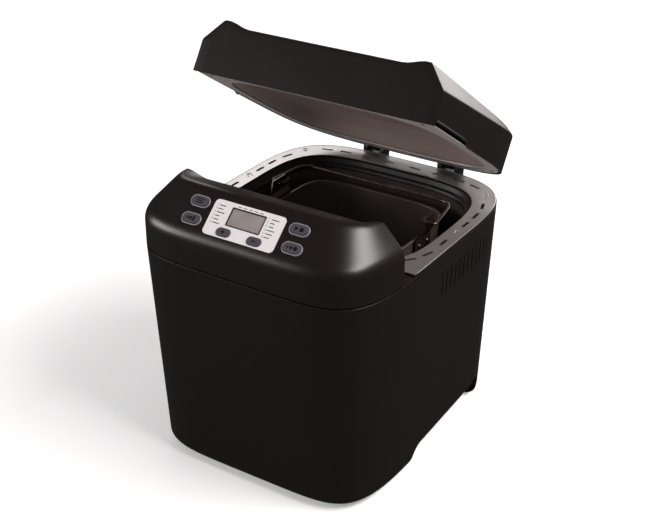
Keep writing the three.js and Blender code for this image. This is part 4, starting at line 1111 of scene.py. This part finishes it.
def smooth_lid_top(x, y):
    """The height of the lid's top, dished along its middle and raised to its sides."""
    share = (y - LID_FRONT) / (rear_reach() - LID_FRONT)
    middle = DIP_RISE + (LID_REAR_MIDDLE - DIP_RISE) * share
    edge = HORN_RISE + (LID_REAR_EDGE - HORN_RISE) * share
    side = (abs(x) / (half_width() - lid_chamfer(y)) - HORN_START) / HORN_SPAN
    return body_top() + middle + (edge - middle) * smooth_share(side)


def lid_chamfer(y):
    """How far the lid's top edge stands in from its side, less towards the rear."""
    share = (y - LID_FRONT) / (rear_reach() - LID_FRONT)
    return SIDE_CHAMFER + (REAR_CHAMFER - SIDE_CHAMFER) * share


def lid_plan(inset):
    """The lid's plan, counter-clockwise: the body's outline behind the seam and a straight front."""
    outline = body_outline(inset)
    front = LID_FRONT + inset
    cut = math.asin((-front / outline[1]) ** (FRONT_SQUARENESS / 2))
    spread = [math.pi / 2 - (math.pi / 2 + cut) * (1 - k / 48) for k in range(97)]
    sides = [turn + step for turn in (0, math.pi) for step in (-0.0256, -0.0064, 0.0064, 0.0256)]
    turns = sorted({*spread, -0.04, *sides})
    points = [outline_point(outline, turn) for turn in turns]
    corner = points[0].x
    edge = [Vector((corner * (2 * k / 40 - 1), front)) for k in range(1, 40)]
    loop = points + edge
    for index in (0, len(points) - 1):
        before, here, after = loop[index - 1], loop[index], loop[(index + 1) % len(loop)]
        pull = (before.lerp(after, 0.5) - here).normalized()
        loop[index] = here + pull * 1.0
    return loop


class OBJECT_OT_bread_lid(bpy.types.Operator):
    """Models the lid's shell, border plate, dish, screws and hinge arms"""

    bl_idname = "object.bread_lid"
    bl_label = "Lid"

    def execute(self, context):
        top = body_top()
        plan = lid_plan(0)
        low = top + LID_RAISED

        def column_line(flat):
            wall_top = top + 34.7 + 0.036 * (flat.y - LID_FRONT)
            x = flat.x * (1 - lid_chamfer(flat.y) / half_width())
            y = flat.y * (1 - REAR_CHAMFER / rear_reach()) if flat.y > 0 else flat.y
            corners = [Vector((flat.x, flat.y, low)), Vector((flat.x, flat.y, wall_top))]
            for share in (1, 0.93, 0.85, 0.75, 0.6, 0.4, 0.2, 0):
                px, py = x * share, 10 + (y - 10) * share
                corners.append(Vector((px, py, smooth_lid_top(px, py))))
            return rounded(corners[:4], (1.8, 3.0), 5, 5)[:-1] + corners[3:]

        lines = [column_line(flat) for flat in plan]
        count = len(plan)
        bm = sheet(count, len(lines[0]) - 1, lambda column, row: lines[column % count][row])
        outward(bm, Vector((0, 10, low)))
        for side in (-1, 1):
            planes = [
                (Vector((0, SCOOP_START, 0)), Vector((0, -1, 0))),
                (
                    Vector((0, LID_FRONT + 81, low + SCOOP_RISE)),
                    Vector((0, 0.62, 0.78)).normalized(),
                ),
                (Vector((0, LID_FRONT + 88.5, 0)), Vector((0, 1, 0))),
                (Vector((0, 0, low + SCOOP_RISE)), Vector((0, 0, 1))),
            ]
            cut_out(bm, planes, lambda c, n: side * c.x > 100 and abs(n.x) > 0.8)
        thickened(bm, wall())
        add_piece(
            "lid_skin", bm, lid_place(), "lid", satin_black(), ["lid_shell"]
        )
        self.add_lips(low)
        self.add_border(low)
        self.add_dish(low)
        self.add_screws()
        self.add_arms()
        return {"FINISHED"}

    def add_lips(self, low):
        """The rounded lip over each finger scoop, turned down at its rear end."""
        half, front = body_outline(0)[0], body_outline(0)[1]
        parts = []
        for side in (-1, 1):
            line = []
            for k in range(31):
                y = SCOOP_START + k / 30 * 84
                x = half * (1 - abs(y / front) ** FRONT_SQUARENESS) ** (1 / FRONT_SQUARENESS)
                drop = smooth_share((k - 24) / 6) * 4.6
                line.append(Vector((side * (x - 0.5), y, low + SCOOP_RISE - drop)))
            parts.append(wire(line, 1.3, 8))
        add_piece("lid_lips", joined(parts), lid_place(), "lid", satin_black())

    def add_border(self, low):
        """The flat plate under the lid, between its wall and the dish."""
        plan = lid_plan(wall() + GAP + 0.2)
        hole = chamber_outline(5)
        count = len(plan)

        def place(column, row):
            outer = plan[column % count]
            reach_y = hole[2 if outer.y > 0 else 1]
            turn = math.atan2(outer.y / reach_y, outer.x / hole[0])
            power = CHAMBER_SQUARENESS
            reach = (abs(math.cos(turn)) ** power + abs(math.sin(turn)) ** power) ** (-1 / power)
            inner = Vector(
                (hole[0] * math.cos(turn) * reach, reach_y * math.sin(turn) * reach)
            )
            flat = outer.lerp(inner, row / 5)
            return Vector((flat.x, flat.y, low + GAP))

        bm = sheet(count, 5, place)
        flip_up(bm, down=True)
        for x, y in LID_SCREWS.values():
            cut_out(bm, outline_planes(pill_points(6.4, 6.4, x, y)), anywhere)
        thickened(bm, PRESSED_WALL)
        add_piece(
            "lid_border", bm, lid_place(), "lid", border_silver(), ["lid_inner_plate"]
        )

    def add_dish(self, low):
        """The dished metal shield over the loaf."""
        base = low + 2 * GAP + PRESSED_WALL
        line = profile(
            [(7, base), (1, base), (-11, base + 12.4), (-27, base + 20.8), (-60, base + 20.8)],
            (1.5, 5.0, 5.0),
            5,
        )
        line += [Vector((-94, base + 20.8))]
        bm = swept(chamber_outline, line)
        crown = [e for e in bm.edges if e.is_boundary and e.verts[0].co.z > base + 5]
        bmesh.ops.holes_fill(bm, edges=crown, sides=0)
        flip_up(bm, down=True)
        thickened(bm, PRESSED_WALL)
        add_piece(
            "lid_dish", bm, lid_place(), "lid", dish_metal(), ["lid_reflector"]
        )

    def add_screws(self):
        """Cross-slotted screws in the border plate."""
        low = body_top() + LID_RAISED + GAP + 0.1
        line = profile(
            [(0, low), (2.7, low), (2.7, low + 1.6), (1.5, low + 2.2), (1.5, low + 13), (0, low + 13)],
            (0.5, 0.2, 0.1, 0.1),
        )
        for name, (x, y) in LID_SCREWS.items():
            bm = turned(line, (x, y), 24)
            for width, height in ((0.7, 3.4), (3.4, 0.7)):
                press_in(
                    bm,
                    outline_planes(rectangle_points(width, height, 0, x, y)),
                    lambda c, n: n.z < -0.9 and c.z < low + 0.3,
                    Vector((0, 0, 0.7)),
                )
            add_piece(
                "screw_" + name, bm, lid_place(), "lid", dull_steel(), ["lid_screw_" + name]
            )

    def add_arms(self):
        """The two arms that reach back from the lid to its hinge."""
        hinge = hinge_point()
        for side, x in (("left", -HINGE_X), ("right", HINGE_X)):
            inside = rear_reach() - 1.6 - hinge.y
            line = [Vector((inside, -2.6)), Vector((0, -5.0))]
            line += [
                Vector((5 * math.cos(turn), 5 * math.sin(turn)))
                for turn in (math.radians(a) for a in range(-75, 91, 15))
            ]
            line += [Vector((-1, 4.9)), Vector((inside, 4.2))]
            bm = slab(line, -7.4, 7.4)
            bevel(bm, sharp_edges(bm, 60), 0.6, 2)
            place = lid_place() @ Matrix.Translation((x, hinge.y, hinge.z)) @ on_side()
            add_piece("lid_arm_" + side, bm, place, "lid", satin_black())


class OBJECT_OT_bread_rim(bpy.types.Operator):
    """Models the slotted silver rim with its rolled edge and spring clips"""

    bl_idname = "object.bread_rim"
    bl_label = "Rim"

    def execute(self, context):
        top = body_top() + GAP + RIM_THICKNESS

        def place(column, row):
            turn = TURNS[column % len(TURNS)]
            outer = outline_point(body_outline(1), turn)
            inner = outline_point(chamber_outline(0), turn)
            flat = outer.lerp(inner, row / 5)
            return Vector((flat.x, flat.y, top))

        bm = sheet(len(TURNS), 5, place)
        flip_up(bm)
        geom = bm.verts[:] + bm.edges[:] + bm.faces[:]
        bmesh.ops.bisect_plane(
            bm, geom=geom, plane_co=(0, RIM_FRONT, 0), plane_no=(0, -1, 0), clear_outer=True
        )
        for side in (-1, 1):
            planes = [
                (Vector((side * NOTCH_HALF, 0, 0)), Vector((-side, 0, 0))),
                (Vector((0, NOTCH_BACK, 0)), Vector((0, 1, 0))),
            ]
            cut_out(bm, planes, lambda c, n: side * c.x > 0)
            for x, y, turn in RIM_SLOTS:
                slant = Matrix.Rotation(side * math.radians(turn), 4, "Z")
                slot = Matrix.Translation((side * x, y, 0)) @ slant
                planes = outline_planes(pill_points(*RIM_SLOT_SIZE), slot)
                cut_out(bm, planes, lambda c, n: (c.xy - Vector((side * x, y))).length < 40)
        bmesh.ops.dissolve_limit(bm, angle_limit=0.001, verts=bm.verts, edges=bm.edges)
        thickened(bm, RIM_SKIN)
        rim = [e for e in sharp_edges(bm) if all(v.co.z > top - 0.05 for v in e.verts)]
        bevel(bm, rim, 0.3, 2)
        add_piece("rim_face", bm, machine_place(), "base", rim_silver(), ["rim_plate"])
        self.add_edge(top)
        self.add_clips(top)
        return {"FINISHED"}

    def add_edge(self, top):
        """The bright rolled bead along the rim's outer edge."""
        outline = body_outline(1.5)
        turns = (-math.pi / 2 + k / 240 * math.tau for k in range(241))
        flats = (outline_point(outline, turn) for turn in turns)
        line = [Vector((*flat, top - 0.5)) for flat in flats if flat.y > CONSOLE_BACK + 21.5]
        add_piece("rim_bead", wire(line, 0.8), machine_place(), "base", rim_silver())

    def add_clips(self, top):
        """Small pressed crescents between the slots."""
        parts = []
        for side in (-1, 1):
            for x, y, turn in ((123.0, 6.0, 20), (110.5, 94.0, 60)):
                arc = []
                for angle in range(0, 271, 15):
                    along = math.radians(angle + turn)
                    point = (side * x + 2.9 * math.cos(along), y + 2.9 * math.sin(along), top + 0.1)
                    arc.append(Vector(point))
                parts.append(wire(arc, 0.55, 8))
        add_piece("rim_clips", joined(parts), machine_place(), "base", rim_silver())


class OBJECT_OT_bread_chamber(bpy.types.Operator):
    """Models the baking chamber: collar, liner, heating rod and seat ring"""

    bl_idname = "object.bread_chamber"
    bl_label = "Chamber"

    def execute(self, context):
        top = body_top()
        line = profile(
            [
                (1.2, top - 0.1),
                (-0.8, top - 0.1),
                (-3.0, top - 5.0),
                (-5.6, top - 5.6),
                (-6.4, top - 7.2),
                (-6.8, top - 9.5),
                (-4.4, top - 9.5),
                (1.2, top - 3.9),
                (1.2, top - 0.1),
            ],
            (0.7, 0.8, 0.9, 0.8, 0.1, 0.1, 0.1),
            4,
        )
        bm = swept(chamber_outline, line[:-1], loop=True)
        add_piece(
            "collar_skin",
            bm,
            machine_place(),
            "base",
            trim_black(),
            ["chamber_collar"],
        )
        floor = CHAMBER_FLOOR + PRESSED_WALL
        bm = swept(chamber_outline, profile([(-6.8, top - 9.9), (-6.8, floor), (-92, floor)], (8.0,), 6))
        middle = [e for e in bm.edges if e.is_boundary and e.verts[0].co.z < CHAMBER_FLOOR + 5]
        bmesh.ops.holes_fill(bm, edges=middle, sides=0)
        bmesh.ops.recalc_face_normals(bm, faces=bm.faces)
        inward(bm, Vector((0, 5, 150)))
        cut_out(
            bm,
            outline_planes(pill_points(27.2, 27.2, 0, PAN_CENTRE)),
            lambda c, n: c.z < CHAMBER_FLOOR + 3,
        )
        thickened(bm, PRESSED_WALL)
        add_piece(
            "liner_skin",
            bm,
            machine_place(),
            "base",
            chamber_coating(),
            ["chamber_liner"],
        )
        self.add_element()
        return {"FINISHED"}

    def add_element(self):
        """The square heating loop and the ring that the pan stands in."""
        low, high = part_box("heating_element")
        place = machine_place().inverted()
        low, high = place @ low, place @ high
        side, far = high.x - ROD_RADIUS, high.y - ROD_RADIUS
        z = (low.z + high.z) / 2
        right = [(ROD_TAIL, low.y), (ROD_TAIL, ROD_NEAR), (side, ROD_NEAR), (side, far)]
        corners = right + [(-x, y) for x, y in reversed(right)]
        path = rounded([Vector((x, y, z)) for x, y in corners], (14,) * 6, 8)
        add_piece(
            "heating_rod",
            wire(path, ROD_RADIUS, 16),
            machine_place(),
            "base",
            dull_steel(),
            ["heating_element"],
        )
        base = CHAMBER_FLOOR + 1.6
        foot = [(41, base), (54, base), (54, base + 2)]
        wall_line = [(44, base + 2), (44, base + 11), (41, base + 11), (41, base)]
        line = profile(foot + wall_line, (0.1, 0.6, 1.0, 0.6, 0.6))
        add_piece(
            "seat_ring",
            turned(line, (0, PAN_CENTRE), 64),
            machine_place(),
            "base",
            dull_steel(),
            ["pan_seat_ring"],
        )


class OBJECT_OT_bread_pan(bpy.types.Operator):
    """Models the loaf pan with its rolled lip, riveted ears and foot ring"""

    bl_idname = "object.bread_pan"
    bl_label = "Pan"

    def execute(self, context):
        rim = body_top() - PAN_DROP
        floor = PAN_FLOOR
        line = profile(
            [
                (45, floor),
                (9, floor),
                (6, floor + 4),
                (0, rim - 2),
                (-1.6, rim - 2),
                (-1.6, rim),
                (1.6, rim),
                (7.6, floor + 5.6),
                (10.6, floor + 1.6),
                (45, floor + 1.6),
            ],
            (2.0, 3.0, 0.4, 0.7, 0.9, 1.2, 4.0, 4.0),
            5,
        )
        bm = swept(pan_outline, line)
        for level in (floor, floor + 1.6):
            ends = [
                e
                for e in bm.edges
                if e.is_boundary and all(abs(v.co.z - level) < 0.1 for v in e.verts)
            ]
            bmesh.ops.holes_fill(bm, edges=ends, sides=0)
        bmesh.ops.recalc_face_normals(bm, faces=bm.faces)
        add_piece(
            "pan_skin", bm, pan_place(), "pan", nonstick_coating(), ["bread_pan"]
        )
        low = floor - 15.8
        skirt = [(35, low), (38.5, low), (38.5, floor - 2.3)]
        flange = [(46, floor - 2.3), (46, floor - 0.3), (35, floor - 0.3), (35, low)]
        ring = turned(profile(skirt + flange, (0.6, 0.8, 0.4, 0.4, 0.1)), steps=64)
        add_piece("pan_foot", ring, pan_place(), "pan", dull_steel(), ["pan_foot_ring"])
        for side, sign in (("right", 1), ("left", -1)):
            self.add_ear(side, sign, rim)
        return {"FINISHED"}

    def add_ear(self, side, sign, rim):
        """A riveted bracket that steps outwards above the rim."""
        inner = 83.2
        line = profile(
            [
                (inner + 0.65, rim - 17),
                (inner + 0.65, rim + 1),
                (inner + 4.65, rim + 6),
                (inner + 4.65, rim + 20),
            ],
            (1.5, 1.5),
            4,
        )
        columns = 10

        def place(column, row):
            x, z = line[row]
            y = (column / columns - 0.5) * 30
            taper = 1 - 0.22 * smooth_share((z - rim - 8) / 12)
            return Vector((sign * x, y * taper, z))

        bm = sheet(columns, len(line) - 1, place)
        total = sum(f.normal.x for f in bm.faces) * sign
        if total < 0:
            bmesh.ops.reverse_faces(bm, faces=bm.faces)
        bmesh.ops.translate(bm, verts=bm.verts, vec=(sign * 0.65, 0, 0))
        bail = Matrix.Translation((0, 0, body_top() + BAIL_RISE)) @ on_side(sign)
        cut_out(bm, outline_planes(pill_points(4.0, 4.0), bail), anywhere)
        thickened(bm, 1.3)
        bevel(bm, sharp_edges(bm, 60), 0.3, 2)
        add_piece(
            "pan_ear_" + side, bm, pan_place(), "pan", dark_wire(), ["bail_ear_" + side]
        )
        line = profile([(0, -1.9), (2.4, -1.9), (2.4, 1.3), (1.5, 2.2), (0, 2.4)], (0.2, 0.4, 0.8))
        parts = []
        for y in (-8, 8):
            dome = turned(line, steps=24)
            turn = Matrix.Rotation(sign * math.pi / 2, 4, "Y")
            parts.append(shifted(dome, Matrix.Translation((sign * (inner + 0.6), y, rim - 9)) @ turn))
        add_piece("pan_rivets_" + side, joined(parts), pan_place(), "pan", dark_wire())


class OBJECT_OT_bread_bail(bpy.types.Operator):
    """Models the pan's folding wire handle"""

    bl_idname = "object.bread_bail"
    bl_label = "Bail"

    def execute(self, context):
        z = body_top() + BAIL_RISE
        half = []
        for x, y, rise in ((82.2, 9, 1), (82.2, 0, 0), (97.2, 0, 0), (89.2, 50, 1)):
            half.append(Vector((x, y, z + rise)))
        mirrored = [Vector((-p.x, p.y, p.z)) for p in reversed(half)]
        path = rounded(half + mirrored, (3.5, 4, 14, 14, 4, 3.5), 8)
        bm = wire(path, sizes().bail_wire / MM / 2, 16)
        add_piece("bail_wire", bm, pan_place(), "bail", dark_wire(), ["bail_handle"])
        return {"FINISHED"}


class OBJECT_OT_bread_paddle(bpy.types.Operator):
    """Models the kneading paddle with its hub"""

    bl_idname = "object.bread_paddle"
    bl_label = "Paddle"

    def execute(self, context):
        low = PAN_FLOOR + 6.5
        top = low + 24
        hub = turned(
            profile([(4.4, low), (9.5, low), (8, top), (0, top)], (0.8, 1.4)),
            steps=40,
        )
        tip, crest = Vector((42, low - 3)), Vector((30, low + 14))
        outline = [Vector((6, low + 1)), Vector((12, low + 1)), Vector((13, low - 3)), tip]
        outline += [bend(tip, Vector((42, low + 8)), crest, k / 5) for k in range(1, 6)]
        root = Vector((6, low + 20))
        outline += [bend(crest, Vector((18, low + 20)), root, k / 4) for k in range(1, 5)]
        fin = slab(outline, -2.2, 2.2)
        bevel(fin, sharp_edges(fin, 60), 0.9, 3)
        shifted(fin, Matrix.Rotation(math.pi / 2, 4, "X"))
        bm = joined([hub, fin])
        add_piece(
            "paddle_blade",
            bm,
            pan_place(),
            "paddle",
            nonstick_coating(),
            ["kneading_paddle"],
        )
        return {"FINISHED"}


class OBJECT_OT_bread_carried(bpy.types.Operator):
    """Gives the parts kept from the frame their finishes, and softens the edges that show"""

    bl_idname = "object.bread_carried"
    bl_label = "Kept parts"

    def execute(self, context):
        by_finish = {
            trim_black: (
                "base_plate",
                "lcd_module",
                "transformer",
                "hinge_bracket_left",
                "hinge_bracket_right",
                "driven_pulley",
                "motor_pulley",
            ),
            board_green: ("control_board", "power_board"),
            dull_steel: (
                "hinge_pin_left",
                "hinge_pin_right",
                "drive_shaft",
                "drive_socket",
                "motor_body",
                "motor_shaft",
                "chassis_plate",
                "paddle_shaft",
            ),
            warm_brass: ("shaft_bearing", "pan_bearing", "temperature_probe"),
            black_rubber: ("drive_belt",),
            label_silver: ("motor_capacitor",),
        }
        for make, nodes in by_finish.items():
            for node in nodes:
                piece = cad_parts[node]
                if not piece.material_slots:
                    raise RuntimeError(f"{node} has no material slot")
                for place in piece.material_slots:
                    place.material = make()
        hinges = [f"hinge_{part}_{side}" for part in ("bracket", "pin") for side in ("left", "right")]
        for node in ("base_plate", *hinges):
            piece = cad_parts[node]
            weld = piece.modifiers.new("weld", "WELD")
            weld.merge_threshold = 0.00002
            edge = piece.modifiers.new("edge", "BEVEL")
            edge.width = 0.0005
            edge.segments = 2
            edge.limit_method = "ANGLE"
            edge.angle_limit = math.radians(40)
            edge.material = -1
        return {"FINISHED"}


# ---------------------------------------------------------------- stage
class SCENE_OT_bread_stage(bpy.types.Operator):
    """Sets the pale floor, the soft lights and the camera"""

    bl_idname = "scene.bread_stage"
    bl_label = "Stage"

    def execute(self, context):
        self.add_floor()
        self.add_world(context)
        self.add_lights()
        camera = bpy.data.cameras.new("camera")
        camera.sensor_width = 36
        camera.lens = CAMERA_LENS
        camera.clip_end = 50
        stand = bpy.data.objects.new("camera", camera)
        bpy.context.scene.collection.objects.link(stand)
        level = math.cos(CAMERA_ELEVATION)
        forward = Vector(
            (
                -math.sin(CAMERA_AZIMUTH) * level,
                math.cos(CAMERA_AZIMUTH) * level,
                -math.sin(CAMERA_ELEVATION),
            )
        )
        stand.location = CAMERA_PLACE
        stand.rotation_euler = forward.to_track_quat("-Z", "Y").to_euler()
        context.scene.camera = stand
        return {"FINISHED"}

    def add_floor(self):
        """A wide pale floor that glows faintly and stays out of reflections."""
        bm = bmesh.new()
        bmesh.ops.create_grid(bm, x_segments=2, y_segments=2, size=12.0)
        mesh = bpy.data.meshes.new("floor")
        bm.to_mesh(mesh)
        bm.free()
        floor = bpy.data.objects.new("floor", mesh)
        bpy.context.scene.collection.objects.link(floor)
        pale = finish("floor", finishes().floor, 0.9, grain=60, depth=0.0, mottle=0.004, specular=0.0)
        shader = pale.node_tree.nodes["Principled BSDF"]
        shader.inputs["Emission Color"].default_value = (1, 1, 1, 1)
        shader.inputs["Emission Strength"].default_value = FLOOR_GLOW
        mesh.materials.append(pale)
        floor.visible_glossy = False

    def add_world(self, context):
        """A white surround that lights the machine only dimly, and hardly shows in reflections."""
        world = bpy.data.worlds.new("studio")
        context.scene.world = world
        world.use_nodes = True
        nodes, links = world.node_tree.nodes, world.node_tree.links
        path = nodes.new("ShaderNodeLightPath")
        seen = nodes.new("ShaderNodeMath")
        seen.operation = "MULTIPLY_ADD"
        seen.inputs[1].default_value = WORLD_SEEN - WORLD_LIGHT
        seen.inputs[2].default_value = WORLD_LIGHT
        strength = nodes.new("ShaderNodeMath")
        strength.operation = "MULTIPLY_ADD"
        strength.inputs[1].default_value = WORLD_REFLECTED - WORLD_LIGHT
        links.new(path.outputs["Is Camera Ray"], seen.inputs[0])
        links.new(path.outputs["Is Glossy Ray"], strength.inputs[0])
        links.new(seen.outputs["Value"], strength.inputs[2])
        ground = nodes["Background"]
        ground.inputs["Color"].default_value = (1, 1, 1, 1)
        links.new(strength.outputs["Value"], ground.inputs["Strength"])
        context.scene.view_settings.view_transform = "Standard"

    def add_lights(self):
        """Soft boxes overhead to the right, behind, and at the left rear and left front."""
        for name, place, aim, width, height, power in (
            ("overhead", (1.45, 0.2, 1.9), (0.0, 0.0, 0.1), 1.7, 0.9, 78),
            ("backdrop", (-0.1, 2.4, 0.46), (0.0, 0.0, 0.3), 2.4, 0.76, 24),
            ("left_rear", (-1.5, 1.6, 1.25), (0.0, 0.0, 0.2), 1.0, 0.8, 6),
            ("front_left", (-2.3, -1.8, 0.7), (0.0, 0.0, 0.2), 1.8, 1.1, 58),
        ):
            lamp = bpy.data.lights.new(name, "AREA")
            lamp.shape = "RECTANGLE"
            lamp.size = width
            lamp.size_y = height
            lamp.energy = power
            lamp.color = (1.0, 0.955, 0.95)
            stand = bpy.data.objects.new(name, lamp)
            bpy.context.scene.collection.objects.link(stand)
            stand.location = place
            stand.rotation_euler = (Vector(aim) - Vector(place)).to_track_quat("-Z", "Y").to_euler()


PIECE_OPERATORS = (
    OBJECT_OT_bread_body,
    OBJECT_OT_bread_base_fittings,
    OBJECT_OT_bread_console,
    OBJECT_OT_bread_panel,
    OBJECT_OT_bread_buttons,
    OBJECT_OT_bread_rim,
    OBJECT_OT_bread_chamber,
    OBJECT_OT_bread_pan,
    OBJECT_OT_bread_bail,
    OBJECT_OT_bread_paddle,
    OBJECT_OT_bread_lid,
    OBJECT_OT_bread_carried,
    SCENE_OT_bread_stage,
)


class VIEW3D_PT_bread_machine(bpy.types.Panel):
    """Lists the bread machine's pieces, sizes and colours"""

    bl_idname = "VIEW3D_PT_bread_machine"
    bl_label = "Bread Machine"
    bl_space_type = "VIEW_3D"
    bl_region_type = "UI"
    bl_category = "Bread Machine"

    def draw(self, context):
        column = self.layout.column()
        for operator in PIECE_OPERATORS:
            column.operator(operator.bl_idname)
        for group in (sizes(), finishes()):
            box = self.layout.box()
            for name in group.bl_rna.properties.keys():
                if name not in ("rna_type", "name"):
                    box.prop(group, name)


CLASSES = (BreadMachineSizes, BreadMachineFinishes, *PIECE_OPERATORS, VIEW3D_PT_bread_machine)


def register():
    for made in CLASSES:
        bpy.utils.register_class(made)
    bpy.types.Scene.bread_machine_sizes = PointerProperty(type=BreadMachineSizes)
    bpy.types.Scene.bread_machine_finishes = PointerProperty(type=BreadMachineFinishes)


def unregister():
    del bpy.types.Scene.bread_machine_finishes
    del bpy.types.Scene.bread_machine_sizes
    for made in reversed(CLASSES):
        bpy.utils.unregister_class(made)


def main():
    register()
    for operator in PIECE_OPERATORS:
        group, name = operator.bl_idname.split(".")
        getattr(getattr(bpy.ops, group), name)()


if __name__ == "__main__":
    main()
